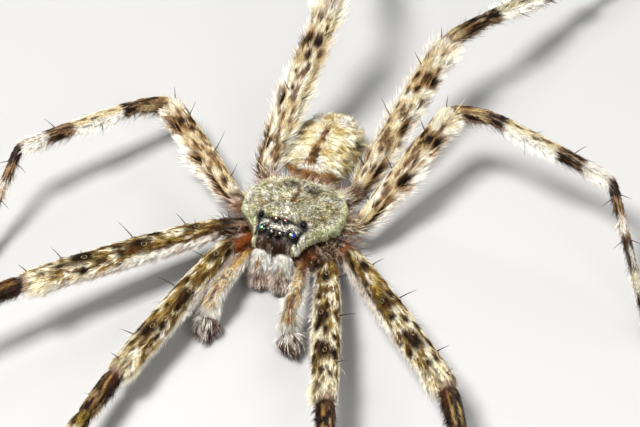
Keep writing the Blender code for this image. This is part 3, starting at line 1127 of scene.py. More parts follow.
    def _patella(self, s: Array, share: Array, degrees: Array, wide: Array, fine: Array) -> Array:
        """Dark brown, with yellowish stripes along the top and tan streaks below."""
        pale = self.pair.fringe
        warm = mix(Hue.CHESTNUT, mix(Hue.OCHRE, Hue.TAN, 0.5), 0.4 * pale)
        tints = mix(Hue.DARK, warm, smooth(0.48, 0.62, wide))
        tints = mix(tints, mix(Hue.BROWN, Hue.CLAY, 0.4), smooth(0.54, 0.64, fine) * (0.2 + 0.4 * pale))
        root = 1 - smooth(0.2, 0.4, share + 0.3 * (wide - 0.5))
        tints = mix(tints, Hue.STRAW, root * pale * smooth(0.35, 0.5, fine) * 0.9)
        stripe = bell(np.abs(degrees + 40 * (wide - 0.5)), 22, 8) * band(share, 0.12, 0.92, 0.06)
        yellow = mix(Hue.OCHRE, Hue.HONEY, smooth(0.46, 0.56, wide))
        tints = mix(tints, yellow, stripe * smooth(0.44, 0.54, fine) * 0.75)
        end = band(share, 0.55, 0.9, 0.1) * smooth(0.50, 0.58, 0.6 * wide + 0.4 * fine)
        tints = mix(tints, mix(Hue.OCHRE, Hue.STRAW, 0.5 + 0.5 * pale), end * 0.7)
        below = smooth(75, 120, np.abs(degrees)) * smooth(0.4, 0.6, fine)
        tints = mix(tints, Hue.TAN, below * (0.4 + 0.4 * pale))
        return mix(tints, mix(Hue.MAUVE, Hue.TAN, smooth(0.4, 0.6, fine)), 1 - smooth(0.03, 0.10, share))

    def _tibia(self, s: Array, share: Array, degrees: Array, wide: Array, fine: Array) -> Array:
        """Dark base, white band with brown marks, brown middle, and a white band at the end."""
        edge = share + 0.05 * (fine - 0.5)
        tints = mix(Hue.DARK, Hue.BROWN, smooth(0.38, 0.6, fine))
        streak = mix(Hue.GOLD, mix(Hue.OCHRE, Hue.TAN, 0.6), self.pair.fringe)
        tints = mix(tints, streak, smooth(0.50, 0.60, fine) * 0.75)
        pale = mix(Hue.STRAW, Hue.CREAM, smooth(0.35, 0.6, fine))
        pale = mix(pale, Hue.WHITE, smooth(30, 70, np.abs(degrees)))
        tints = mix(tints, pale, band(edge, 0.11, 0.54, 0.02))
        marks = self._spotted(self.tibia_marks, Part.TIBIA, s, degrees, 0.5 * fine + 0.5 * wide)
        tints = mix(tints, Hue.BROWN, (1 - smooth(0.7, 1.2, marks)) * 0.9)
        return mix(tints, Hue.WHITE, band(edge, 0.77, 0.975, 0.02) * (1 - 0.6 * smooth(0.55, 0.7, fine)))

    def _metatarsus(self, s: Array, share: Array, degrees: Array, wide: Array, fine: Array) -> Array:
        """Near-black base, gold-brown streaks and a white tuft, then mottled grey-brown and a pale band."""
        edge = share + 0.10 * (fine - 0.5)
        tints = mix(Hue.BROWN, mix(Hue.GREY, Hue.WHITE, 0.3), smooth(0.43, 0.53, fine))
        tints = mix(tints, Hue.DARK, smooth(0.50, 0.62, wide) * 0.8)
        gold = mix(mix(Hue.BROWN, Hue.DARK, 0.4), mix(Hue.OCHRE, Hue.TAN, 0.4), smooth(0.46, 0.56, fine))
        tints = mix(tints, gold, band(edge, 0.12, 0.44, 0.02))
        tints = mix(tints, Hue.WHITE, band(edge, 0.25, 0.37, 0.02) * (0.9 - 0.7 * smooth(0.5, 0.60, fine)))
        tints = mix(tints, mix(Hue.BROWN, Hue.DARK, 0.5), band(edge, 0.43, 0.50, 0.02) * 0.9)
        tints = mix(tints, Hue.CREAM, band(edge, 0.64, 0.80, 0.03) * (0.75 - 0.6 * smooth(0.5, 0.62, fine)))
        return mix(tints, mix(Hue.BLACK, Hue.BROWN, 0.35), 1 - smooth(0.12, 0.16, edge))

    def _tarsus(self, s: Array, share: Array, degrees: Array, wide: Array, fine: Array) -> Array:
        """Grey-brown, darker below where the pads are."""
        tints = mix(Hue.GREY, Hue.BROWN, smooth(0.35, 0.6, wide))
        tints = mix(tints, Hue.DARK, smooth(0.5, 0.66, fine) * 0.8)
        return mix(tints, Hue.SLATE, smooth(80, 120, np.abs(degrees)) * 0.8)

    def _pelt(self, index: Array, name: str) -> Array:
        """One value of the pelts for each place's length."""
        return np.array([getattr(pelt, name) for pelt in PELTS])[index]

    def _flare(self, index: Array, share: Array) -> Array:
        """How much the hair stands out for the tufts before a joint, 0 to 1."""
        femur = bell(share, 0.9, 0.06) * (index == Part.FEMUR)
        tibia = bell(share, 0.88, 0.08) * (index == Part.TIBIA) * 0.7
        return femur + tibia

    def fur(self, u: Array, v: Array) -> Growth:
        """The short hair all over the leg, flat on top and looser at the sides, sparse at the knee."""
        index, share = self.locate(u * self.total)
        degrees = self.angle(v)
        back = self.pair.fringe
        coxa, patella = index == Part.COXA, index == Part.PATELLA
        side = smooth(40, 80, np.abs(degrees))
        rear = smooth(10, 60, -degrees) * (1 - smooth(120, 160, -degrees)) * (1 - 0.3 * back)
        bare = np.where(index == Part.FEMUR, smooth(0.965, 0.985, share), 0)
        bare = bare + np.where(patella, 1 - smooth(0.03, 0.11, share), 0)
        flare = self._flare(index, share) * smooth(20, 70, degrees + 100 * back)
        length = self._pelt(index, "top") * (1 - side) + self._pelt(index, "side") * side
        lift = self._pelt(index, "lift") * (1 - side) + self._pelt(index, "side_lift") * side
        density = np.where(patella, 0.7 + 0.3 * back, 1) * self._pelt(index, "fur")
        density = density * (1 - 0.6 * smooth(125, 160, np.abs(degrees)))
        trim = np.where(coxa, 0.5 + 0.5 * back, 1 - 0.2 * back)
        return Growth(
            per_mm2=density * (1 - bare * 0.95), length=length * (1 - 0.35 * rear) * trim + 0.3 * flare,
            lift=lift * (1 - 0.35 * rear) + 14 * flare, width=0.064, stray=14 + 30 * coxa, tuft=0.26,
            gather=0.35, fleck=0.16, patchy=0.36,
        )

    def shag(self, u: Array, v: Array) -> Growth:
        """The long curved hair at the sides and below, sparse behind on all but the last pair."""
        index, _ = self.locate(u * self.total)
        degrees = self.angle(v)
        side = smooth(56, 90, np.abs(degrees)) * (1 - 0.9 * smooth(0, 60, -degrees) * (not self.last))
        coxa = index == Part.COXA
        return Growth(
            per_mm2=self._pelt(index, "long") * np.maximum(side, coxa * 0.8),
            length=self._pelt(index, "long_length") * (0.75 + 0.25 * np.maximum(self.pair.fringe, coxa)),
            lift=self._pelt(index, "long_lift"), width=0.058, stray=14 + 26 * coxa, tuft=0.36, gather=0.6,
            rings=2, settle=0.5, patchy=0.4,
        )

    def fringe(self, u: Array, v: Array) -> Growth:
        """Comb-like tufts of long white hair along the front edge, at their fullest on the rear legs."""
        s = u * self.total
        index, share = self.locate(s)
        degrees = self.angle(v)
        full = self.pair.fringe
        edge = bell(degrees, 88, 24) + 0.5 * self.last * bell(degrees, -88, 20)
        gaps = smooth(0.40, 0.52, cloud(columns(s, 0, self.seed), 0.9))
        crest = np.maximum(band(share, 0.34, 0.52, 0.04), band(share, 0.84, 0.97, 0.03)) * full
        on_femur = index == Part.FEMUR
        femur = on_femur * band(share, 0.02, 0.95, 0.02) * np.maximum(0.35 + 0.65 * gaps, 1 - full)
        tibia = band(share, 0.12, 0.54, 0.03) + band(share, 0.76, 0.97, 0.03)
        tibia = (index == Part.TIBIA) * tibia * 0.9
        ankle = band(share, 0.64, 0.80, 0.02) * 0.5 + band(share, 0.25, 0.37, 0.02) * 0.7
        ankle = (index == Part.METATARSUS) * ankle
        flare = self._flare(index, share) * smooth(35, 70, degrees) * (1 - smooth(120, 150, degrees))
        length = np.array([1, self.pair.pile, 1, 0.9, 0.55, 1])[index]
        length = length + on_femur * (0.25 * crest + 0.5 * flare * (1 - full))
        return Growth(
            per_mm2=(90 + 40 * full + 60 * crest) * ((femur + tibia + ankle) * edge + 0.9 * flare),
            length=length + 0.1 * flare, lift=26 + 24 * full + 6 * flare, width=0.075, stray=7,
            tuft=0.30 + 0.38 * full, gather=0.4 + 0.45 * full, rings=2, settle=0.6, fleck=0.10, patchy=0.3,
        )

    def coat(self) -> Piece:
        """Grows the leg's coat."""
        made = Coat(seed=200 + int(self.seed))
        for layer in (self.fur, self.shag, self.fringe):
            made.grow(self, layer)
        # the finish's root and tip set the hair's painted shade and painted light
        finish = HairFinish(f"leg_hair_{self.name}", root=0.3 + 0.24 * self.pair.fringe, tip=1.25)
        return made.piece(f"coat_leg_{self.name}", finish, "leg_coat")


# ---- palps


class Feeler(IntEnum):
    """The lengths of a palp, in order."""

    TROCHANTER = 0
    FEMUR = 1
    PATELLA = 2
    TIBIA = 3
    CAP = 4


PALP_LENGTHS = (
    Length("trochanter", (0.31, 0.33, 0.38), 0.03),
    Length("femur", (0.40, 0.54, 0.56), 0.06, 0.10),
    Length("patella", (0.56, 0.64, 0.60), 0.10, 0.20),
    Length("tibia", (0.60, 0.72, 0.78), 0.16, 0.16),
    Length("cymbium", (0.74, 0.96, 0.42), 0.30, 0.20),
)
PALP_ROOT = (1.12, -3.02, 1.8)
PALP_HIP = {"R": (2.06, -4.25, 2.5), "L": (2.42, -4.25, 2.5)}
PALP_SPANS = (3.72, 1.66, 1.86, 1.55)
PALP_STANCE = {
    "R": ((-99, 3), (-96, 8), (-112, -60), (-78, -16)),
    "L": ((-80, 12), (-90, 2), (-82, -68), (-56, -24)),
}


class Palp(Limb):
    """A palp, whose last length is the hairy cap over a male's bulb."""

    around = 26

    def __init__(self, side: str) -> None:
        """Lays the palp out.

        Args:
            side: L or R.
        """
        self.name = side
        sign = sign_of(side)
        points = list(on_carapace(np.array([PALP_ROOT, PALP_HIP[side]]) * (sign, 1, 1)))
        for (azimuth, pitch), length in zip(PALP_STANCE[side], PALP_SPANS):
            points.append(points[-1] + heading(azimuth, pitch) * length)
        super().__init__(np.array(points), PALP_LENGTHS, sign, 1.0, 61.0 + sign)
        self.rows = round(self.total / 0.09)

    def tint(self, u: Array, v: Array) -> Array:
        """Orange-brown with honey streaks at the root, white further out, and a pale mauve cap."""
        s = u * self.total
        degrees = self.angle(v)
        index, share = self.locate(s)
        place = self.noise_place(s, degrees, 0.6)
        wide, fine = cloud(place, 0.6), cloud(place * np.array([1, 1.8, 1.8]), 0.22)
        out = (index - Feeler.FEMUR) + share
        streak = cloud(columns(0.3 * s, np.radians(degrees) * 0.6, 2.0), 0.3)
        tints = mix(mix(Hue.AMBER, Hue.CHESTNUT, 0.4), Hue.CHESTNUT, smooth(0.46, 0.58, fine) * 0.8)
        tints = mix(tints, Hue.TAN, (index == Feeler.TROCHANTER) * smooth(0.56, 0.62, fine) * 0.8)
        honey = smooth(0.48, 0.56, streak + 0.2 * smooth(0.1, 0.8, out))
        tints = mix(tints, Hue.HONEY, (out > -0.1) * honey * 0.75)
        tints = mix(tints, Hue.CREAM, smooth(0.2, 0.8, out) * smooth(0.42, 0.52, fine) * 0.9)
        side = smooth(35, 75, np.abs(degrees) + 30 * (fine - 0.5))
        white = np.maximum(side, smooth(0.52, 0.6, fine) * (index >= Feeler.PATELLA))
        tints = mix(tints, Hue.WHITE, (out > 0.1) * white * 0.9)
        brown = (index >= Feeler.FEMUR) * smooth(0.53, 0.61, 0.4 * wide + 0.6 * fine)
        tints = mix(tints, Hue.BROWN, brown * (0.9 - 0.5 * side))
        tints = mix(tints, Hue.WHITE, (index == Feeler.TIBIA) * smooth(0.38, 0.55, share))
        cap = mix(mix(Hue.PINK, Hue.WHITE, smooth(0.35, 0.5, wide)), Hue.MAUVE, smooth(0.44, 0.54, fine))
        cap = mix(cap, Hue.BROWN, smooth(0.58, 0.66, fine))
        tints = mix(tints, cap, index == Feeler.CAP)
        tints = mix(tints, Hue.CHESTNUT, (index == Feeler.CAP) * smooth(80, 115, np.abs(degrees)))
        return mix(tints, Hue.RUSSET.rgb * 0.4, self.joint(u) * (index < Feeler.TIBIA) * 0.8)

    def joint(self, u: Array) -> Array:
        """How near a place is to a joint, 0 to 1."""
        s = u * self.total
        return np.clip(sum(bell(s, end, 0.09) for end in self.ends[1:-1]), 0, 1)

    def fur(self, u: Array, v: Array) -> Growth:
        """Hair that gets longer and looser towards the cap."""
        index, share = self.locate(u * self.total)
        side = smooth(40, 110, np.abs(self.angle(v)))
        length = np.array([0.35, 0.42, 0.48, 0.62, 0.75])[index] + 0.16 * side
        lift = np.array([20, 15, 18, 26, 24])[index]
        density = np.array([30, 50, 84, 130, 125])[index] + 40 * side * (index < Feeler.TIBIA)
        cuff = (index == Feeler.TIBIA) * smooth(0.5, 0.8, share)
        return Growth(
            per_mm2=(density + 90 * cuff) * (1 - 0.7 * self.joint(u)), length=length + 0.1 * cuff,
            lift=lift + 16 * side + 12 * cuff, width=0.05, stray=14, tuft=0.36, gather=0.5, patchy=0.6,
        )

    def bristle(self, u: Array, v: Array) -> Growth:
        """Long spiky hair, most of it on the cap."""
        index, _ = self.locate(u * self.total)
        side = smooth(40, 100, np.abs(self.angle(v)))
        density = np.array([3, 18, 24, 32, 40])[index] * (0.3 + 0.7 * side)
        length = np.array([0.6, 0.7, 0.75, 0.9, 1.1])[index]
        lift = np.array([30, 30, 30, 36, 34])[index]
        return Growth(per_mm2=density, length=length, lift=lift, width=0.05,
                      stray=16, tuft=0.5, gather=0.45, rings=2, settle=0.6)


@dataclass(frozen=True)
class PalpBulb:
    """The dark coiled bulb under a palp's cap."""

    palp: Palp

    around = 0.36  # of a turn from the palp's top, towards its front
    radius = 0.5
    wire = 0.085
    turns = 1.35

    def add(self, shell: Shell) -> None:
        """Adds the bulb, a flattened ball, and its coil, a tube on a circle that drifts outwards.

        Args:
            shell: What gathers both palps' bulbs.
        """
        palp = self.palp
        s = (palp.ends[-2] + palp.ends[-1]) / 2 - 0.1
        u = np.array([s / palp.total])
        points, normals, ways, _ = palp.basis(u, np.array([self.around]))
        axis, way = normals[0], ways[0]
        across = np.cross(axis, way)
        centre = points[0] + axis * 0.05
        ball = Blob(centre, (way, across, axis), (0.62, 0.5, 0.4), Hue.CHESTNUT, Hue.BLACK)
        row = 0 if palp.sign > 0 else 0.5
        ball.weave(shell, Cell(0, row, 0.48, 0.48))
        turn = np.linspace(0, 2 * np.pi * self.turns, 60)
        reach = self.radius * (1.0 + 0.08 * turn / np.pi)
        path = (centre + axis * (0.12 + 0.05 * turn[:, None] / np.pi)
                + way * (np.cos(turn) * reach)[:, None] + across * (np.sin(turn) * reach * 0.8)[:, None])
        radii = self.wire * (1 - 0.6 * turn / turn[-1])
        Wire(path, radii, Hue.CHESTNUT, Hue.BLACK).weave(shell, Cell(0.5, row, 0.48, 0.48))


@dataclass
class Blob(Surface):
    """A ball with three half sizes on three directions."""

    centre: Array
    ways: tuple[Array, Array, Array]  # the last from pole to pole
    sizes: tuple[float, float, float]  # half of it on each
    light: Ink  # at the first pole
    dark: Ink  # at the second one

    rows = 24
    around = 24

    def point(self, u: Array, v: Array) -> Array:
        """The ball: sine and cosine of the polar angle on the three directions."""
        polar, turn = np.pi * u, 2 * np.pi * v
        parts = (np.sin(polar) * np.cos(turn), np.sin(polar) * np.sin(turn), -np.cos(polar))
        return self.centre + sum(part[..., None] * way * size
                                 for part, way, size in zip(parts, self.ways, self.sizes))

    def tint(self, u: Array, v: Array) -> Array:
        """A blend from pole to pole."""
        return mix(self.light, self.dark, smooth(0.2, 0.9, u))


class Wire(Surface):
    """A round tube of changing radius along a path, with closed ends."""

    def __init__(self, path: Array, radii: Array, light: Ink, dark: Ink, around: int = 8) -> None:
        """Sets the tube.

        Args:
            path: Points of its middle line.
            radii: Its radius at each.
            light: Its colour at the start.
            dark: Its colour at the end.
            around: How many points each ring has.
        """
        self.path, self.radii, self.light, self.dark, self.around = path, radii, light, dark, around
        ways = unit(np.gradient(path, axis=0))
        bent = abs(ways[0] @ ways[-1]) < 0.99
        helper = np.cross(ways[0], ways[-1]) if bent else np.array([0.31, 0.17, 0.93])
        self.side = unit(np.cross(ways, unit(helper)))
        self.rise = np.cross(self.side, ways)
        self.rows = len(path) + 1
        self.knots = np.linspace(0, 1, len(path))

    def point(self, u: Array, v: Array) -> Array:
        """The tube: the path's point plus the radius turned between two directions across it."""
        path, side, rise = (read(u, self.knots, table) for table in (self.path, self.side, self.rise))
        radius = np.interp(u, self.knots, self.radii) * np.where((u <= 0) | (u >= 1), 0, 1)
        return path + spoke(2 * np.pi * v, side, rise) * radius[..., None]

    def tint(self, u: Array, v: Array) -> Array:
        """A blend along the tube."""
        return mix(self.light, self.dark, u)


# ---- prosoma


CARAPACE_WIDTH, FACE_WIDTH = 7.76, 3.70
WIDEST_Y, FRONT, REAR, SHOULDER = 0.2, 4.5, 3.3, 2.35
RIM_Z, DOME = 3.35, 1.85
STERNUM_Z = 1.15


def half_width(y: Array) -> Array:
    """Half the carapace's width: a round rear, wide shoulders and a narrow face with round corners."""
    ahead = WIDEST_Y - y
    rear = CARAPACE_WIDTH / 2 * np.clip(1 - (ahead / REAR) ** 2, 0, None) ** 0.27
    widening = (CARAPACE_WIDTH - FACE_WIDTH) / 2 * bell(np.clip(ahead, 0, None), 0, SHOULDER, 3.4)
    front = (FACE_WIDTH / 2 + widening) * np.clip(1 - (ahead / FRONT) ** 14, 0, None) ** 0.25
    return np.where(ahead < 0, rear, front)


def dome_z(x: Array, y: Array) -> Array:
    """Height of the carapace's coat: a ridge line along the middle, and an arch across it down to the rim."""
    ahead = WIDEST_Y - y
    share = np.where(ahead > 0, ahead / FRONT, -ahead / REAR)
    power = np.where(ahead > 0, 2.3, 1.5)
    ridge = np.clip(1 - np.clip(share, 0, 1) ** power, 0, None) ** (1 / power)
    across = np.clip(np.abs(x) / np.maximum(half_width(y), 0.01), 0, 1)
    return RIM_Z + DOME * ridge * (1 - across ** 2.6) ** 0.5


@dataclass(frozen=True)
class Eye:
    """An eye: its distance from the middle line, its y, its radius and the colours of the painted reflections
    on its lens.
    """

    name: str
    side: float
    y: float
    radius: float
    mound: float  # how high the mound under it is
    reach: float  # and how wide
    ring: float  # reach of the dark ring, in eye radii
    # the colours of the painted reflections on each lens: near the middle, then a second further out
    painted_glints: tuple[str, str]  # near the middle, of the right lens and of the left one
    second: str  # further out


# each eye's last two columns are the colours of the painted reflections on its lens
EYES = (
    Eye("AM", 0.34, -3.50, 0.24, 0.10, 0.30, 1.45, ("#7C706A", "#7C706A"), "#191716"),
    Eye("AL", 1.11, -3.32, 0.34, 0.12, 0.42, 1.3, ("#4C9A30", "#7C9A20"), "#1028B4"),
    Eye("PM", 0.38, -2.50, 0.22, 0.10, 0.28, 1.5, ("#C87818", "#B84850"), "#1A1210"),
    Eye("PL", 1.67, -2.20, 0.24, 0.20, 0.42, 1.5, ("#242424", "#242424"), "#121212"),
)


class Carapace(Surface):
    """The shield over the front body: a dome with a rolled rim, closed by a flat floor.

    The outline is drawn in to a share of its size and lies on the dome for u below `brim`. Beyond it the
    skin rolls under the rim and runs in to a pole below.
    """

    rows = 110
    around = 112
    brim = 0.80
    depth = 0.10  # of the coat
    fovea_x, fovea_front, fovea_rear = 0.16, -0.5, 1.0

    def outline(self, u: Array, v: Array) -> tuple[Array, Array, Array]:
        """Places along the carapace's own middle line.

        Args:
            u: From the top's middle, over the rim, to the pole below.
            v: Around.

        Returns:
            x, y and the share of the outline.
        """
        turn = 2 * np.pi * v
        share = np.interp(u, (0, self.brim, self.brim + 0.03, self.brim + 0.07, 1), (0, 1, 1, 0.93, 0))
        share = np.where(u < self.brim, share ** 0.85, share)
        sine = np.sin(turn)
        y = WIDEST_Y + np.where(sine > 0, REAR, FRONT) * sine
        x = np.copysign(half_width(y), np.cos(turn)) * share
        return x, WIDEST_Y + (y - WIDEST_Y) * share, share

    def relief(self, x: Array, y: Array, share: Array) -> Array:
        """What stands above or below the plain dome: rim, fovea, hollows, furrows, head and eye mounds."""
        rise = 0.11 * bell(share, 0.955, 0.03) - 0.08 * bell(share, 0.87, 0.05)
        rise = rise - 0.16 * self._fovea(x, y) - 0.20 * self._hollow(x, y, 0.0) - 0.10 * self._ditch(x, y)
        turn = np.arctan2(y - 0.2, x)
        furrows = np.cos(turn * 8 + 0.4) ** 8 * band(share, 0.22, 0.72, 0.12)
        rise = rise - 0.09 * furrows * (y > -2.0)
        head = bell(x, 0, 1.25, 4) * smooth(-0.2, -1.2, y) * smooth(-3.9, -3.2, y)
        rise = rise + 0.06 * head
        for eye in EYES:
            away = ((np.abs(x) - eye.side) ** 2 + (y - eye.y) ** 2) / eye.reach ** 2
            rise = rise + eye.mound * np.exp(-away)
        return rise

    def point(self, u: Array, v: Array) -> Array:
        """The shield's skin."""
        x, y, share = self.outline(u, v)
        top = dome_z(x, y) - self.depth + self.relief(x, y, share)
        under = RIM_Z - self.depth - 0.16
        tuck = np.interp(u, (0, self.brim, self.brim + 0.03, self.brim + 0.07, 1), (0, 0, 0.6, 1, 1))
        return on_carapace(columns(x, y, top + (under - top) * tuck))

    def _fovea(self, x: Array, y: Array) -> Array:
        """The rusty groove on the middle line, 0 to 1."""
        return bell(x, self.fovea_x, 0.14) * band(y, self.fovea_front, self.fovea_rear, 0.15)

    @staticmethod
    def _hollow(x: Array, y: Array, ragged: Array) -> Array:
        """The two hollows beside the middle line near the rear edge, 0 to 1."""
        left = np.hypot((x + 0.60) / 0.80, (y - 1.75) / 0.75)
        right = np.hypot((x - 0.95) / 0.75, (y - 1.60) / 0.85)
        return 1 - smooth(0.6, 1.15, np.minimum(left, right) + ragged)

    def tint(self, u: Array, v: Array) -> Array:
        """The skin is the coat's colour, darkened where felt covers it, as painted shade under the felt."""
        # painted shade under the felt: the skin at 0.45 of the markings
        return self.markings(u, v) * (1 - 0.55 * smooth(self.brim + 0.01, self.brim - 0.01, u))[..., None]

    def markings(self, u: Array, v: Array) -> Array:
        """Lichen green with grey and olive flecks, pale rim, rusty fovea, dark rear patches and the face."""
        x, y, share = self.outline(u, v)
        place = columns(x, y, 3.0)
        wide, fine, grain = cloud(place, 0.9), cloud(place + 7, 0.26), cloud(place + 3, 0.12)
        tints = mix(Hue.LICHEN, Hue.ASH, smooth(0.44, 0.58, 0.6 * wide + 0.4 * fine))
        tints = mix(tints, mix(Hue.MOSS, Hue.OLIVE, 0.4), smooth(0.51, 0.61, 0.6 * fine + 0.4 * grain) * 0.9)
        tints = mix(tints, Hue.BROWN, smooth(0.57, 0.65, 0.4 * fine + 0.6 * grain) * 0.9)
        tints = mix(tints, Hue.WHITE, smooth(0.56, 0.66, grain) * 0.75)
        clump = cloud(place + 2, 0.5)
        moss = smooth(0.53, 0.62, clump) * (0.7 - 0.5 * smooth(0.5, 0.6, grain))
        tints = mix(tints, mix(Hue.MOSS, Hue.BROWN, 0.15), moss)
        frost = smooth(0.46, 0.38, clump) * smooth(0.42, 0.52, grain) * 0.6
        tints = mix(tints, mix(Hue.ASH, Hue.WHITE, 0.5), frost)
        ray = cloud(columns(9 * np.arctan2(y - 0.2, x) / (2 * np.pi), 0.5 * np.hypot(x, y), 9.0), 0.28)
        ray = smooth(0.50, 0.62, ray) * band(share, 0.16, 0.86, 0.08)
        tints = mix(tints, mix(Hue.OLIVE, Hue.GOLD, 0.5), ray * (0.6 - 0.4 * smooth(0.52, 0.6, grain)))
        rim = smooth(0.93, 0.96, share + 0.02 * (grain - 0.5))
        tints = mix(tints, Hue.RIM.rgb * 1.12, rim * (0.95 - 0.3 * smooth(0.55, 0.65, fine)))
        hollow = self._hollow(x, y, 2.0 * (fine - 0.5)) * (0.95 - 0.35 * smooth(0.5, 0.6, grain))
        tints = mix(tints, Hue.BROWN.rgb * 0.6, hollow)
        pale = bell(x, 0.12, 0.16) * smooth(0.9, 1.6, y)
        tints = mix(tints, Hue.ASH, pale * 0.8)
        tints = mix(tints, Hue.RUSSET, np.clip(1.8 * self._fovea(x, y), 0, 1) * 0.9)
        tints = self._face(tints, x, y, fine, grain)
        return mix(tints, Hue.CHESTNUT, smooth(self.brim + 0.02, self.brim + 0.05, u))

    def _face(self, tints: Array, x: Array, y: Array, fine: Array, grain: Array) -> Array:
        """Adds the face: grey hair between the eye rows, dark furrow, mounds and clypeus, pale flanks."""
        side = np.abs(x)
        edge = self._edge(x, y)
        between = band(y, -3.45, -2.45, 0.06) * (1 - smooth(edge - 0.05, edge + 0.05, side))
        grey = mix(mix(Hue.ASH, Hue.WHITE, 0.4), Hue.MAUVE, smooth(0.54, 0.66, fine) * 0.8)
        tints = mix(tints, mix(grey, Hue.SLATE, smooth(0.56, 0.68, grain) * 0.8), between)
        clypeus = (1 - smooth(-3.72, -3.58, y)) * (1 - smooth(1.30, 1.44, side))
        tints = mix(tints, mix(Hue.SLATE.rgb * 0.5, Hue.MAUVE, smooth(0.5, 0.68, grain) * 0.8), clypeus)
        flank = smooth(1.42, 1.54, side) * (1 - smooth(-2.9, -2.5, y))
        pale = mix(Hue.WHITE, Hue.CREAM, smooth(0.4, 0.6, fine))
        pale = mix(pale, Hue.MOSS, smooth(0.56, 0.64, grain) * 0.8)
        tints = mix(tints, pale, flank * 0.9)
        tints = mix(tints, Hue.BLACK.rgb * 0.6, self._ditch(x, y))
        for eye in EYES:
            away = np.hypot(side - eye.side, y - eye.y) / (eye.radius * eye.ring) + 0.25 * (grain - 0.5)
            dark = Hue.BLACK.rgb * 0.6 if eye.name != "PL" else Hue.SLATE.rgb
            tints = mix(tints, dark, 1 - smooth(0.85, 1.05, away))
        return tints

    def lie(self, u: Array, v: Array, along: Array) -> Array:
        """Hair points outwards and back from the middle, and forward on the face."""
        x, y, share = self.outline(u, v)
        pull = turned(columns(0.2 * x, np.where(y < -2.6, -1.0, 0.25), 0.0), BODY_TURN)
        back = turned(columns(0.25 * x, 1.0, 0.1), BODY_TURN)
        return unit(mix(along + 0.6 * pull, back, smooth(2.3, 2.9, y) * smooth(0.9, 0.95, share)))

    def felt(self, u: Array, v: Array) -> Growth:
        """Short broad scale-like hair in all directions, gone from the eyes' rings."""
        x, y, share = self.outline(u, v)
        clear = np.ones_like(x)
        for eye in EYES:
            away = np.hypot(np.abs(x) - eye.side, y - eye.y) / eye.radius
            clear = clear * smooth(1.05, 1.35, away)
        face = smooth(-2.3, -2.6, y) * (1 - smooth(1.4, 1.6, np.abs(x)))
        rim = smooth(0.9, 0.95, share)
        clear = clear * (1 - 0.95 * self._ditch(x, y)) * (1 - 0.9 * self._fovea(x, y))
        clear = clear * (1 - 0.3 * self._hollow(x, y, 0.0))
        return Growth(
            per_mm2=np.where(u < self.brim + 0.03, 205.0 + 135 * np.maximum(rim, face), 25.0) * clear,
            length=0.24 - 0.06 * face - 0.03 * rim, lift=26 + 4 * face, width=0.064,
            stray=80 - 50 * rim - 40 * face, tuft=0.2, gather=0.35, settle=0.7, fleck=0.42, patchy=0.9,
            dye=self.markings(u, v),
        )

    @staticmethod
    def _edge(x: Array, y: Array) -> Array:
        """How far from the middle line the field between the eyes reaches."""
        return np.where(x < 0, 1.62, 1.52 + 0.35 * smooth(-2.9, -2.3, y))

    def _ditch(self, x: Array, y: Array) -> Array:
        """The dark line behind the eyes and down both sides of the field between them, 0 to 1."""
        side = np.abs(x)
        line = bell(y + 2.34 + 0.04 * side, 0, 0.14, 4) * (1 - smooth(1.7, 1.85, side))
        border = bell(side - self._edge(x, y), 0.04, 0.12, 4) * band(y, -3.6, -2.3, 0.08)
        return np.maximum(line, border)

    def beard(self, u: Array, v: Array) -> Growth:
        """Pale hair along the rear edge, and a dark curtain that hangs from the brow over the jaws."""
        x, y, share = self.outline(u, v)
        rear = smooth(0.93, 0.98, share) * smooth(2.3, 2.9, y)
        brow = (1 - smooth(-3.95, -3.7, y)) * (1 - smooth(1.2, 1.4, np.abs(x)))
        return Growth(
            per_mm2=(rear * 100 + brow * 150) * (u < self.brim + 0.01 + 0.05 * brow),
            length=0.34 + 0.46 * rear, lift=16 + 2 * rear, width=0.05, stray=34 - 14 * rear, tuft=0.16,
            gather=0.3, rings=2, settle=0.4, fleck=0.4, dye=self.shade(u, v),
        )

    def shade(self, u: Array, v: Array) -> Array:
        """The rear edge's hair is white to pink, and the brow's is dark brown with mauve and grey."""
        x, y, _ = self.outline(u, v)
        fine = cloud(columns(x, y, 1.0), 0.3)
        dark = mix(mix(Hue.BROWN, Hue.DARK, 0.6), Hue.MAUVE, smooth(0.46, 0.60, fine))
        dark = mix(dark, mix(Hue.GREY, Hue.MAUVE, 0.5), smooth(0.64, 0.72, fine))
        pale = mix(mix(Hue.WHITE, Hue.PINK, smooth(0.35, 0.5, fine)), Hue.CLAY, smooth(0.52, 0.62, fine))
        return mix(dark, pale, smooth(0, 1, y))


class Trunk(Surface):
    """The block under the carapace with the sternum: an upright elliptic wall, rounded off below."""

    rows = 50
    around = 60
    top = 3.2

    def point(self, u: Array, v: Array) -> Array:
        """The wall: an ellipse whose share and height follow a rounded profile from the sternum up."""
        turn = 2 * np.pi * v
        knots = (0, 0.25, 0.36, 0.46, 0.85, 1.0)
        share = np.interp(u, knots, (0, 0.60, 0.86, 0.95, 0.95, 0))
        low = [STERNUM_Z + rise for rise in (0.05, 0.07, 0.2, 0.42)]
        z = np.interp(u, knots, (*low, self.top, self.top))
        x, y = TRUNK_WIDTH / 2 * share * np.cos(turn), TRUNK_LENGTH / 2 * share * np.sin(turn)
        return turned(columns(x, y, z), BODY_TURN)

    def tint(self, u: Array, v: Array) -> Array:
        """Orange-brown, straw on the sternum."""
        points = self.point(u, v)
        tints = mix(Hue.RUSSET, Hue.CHESTNUT, smooth(0.4, 0.7, cloud(points, 0.7)))
        return mix(tints, Hue.STRAW, (1 - smooth(0.2, 0.32, u)) * 0.6)

    def fur(self, u: Array, v: Array) -> Growth:
        """Hair on the sternum, sparser on the wall."""
        below = 1 - smooth(0.3, 0.45, u)
        return Growth(per_mm2=14 + 22 * below, length=0.45 + 0.2 * below, lift=24, width=0.05, stray=20)


# ---- jaws


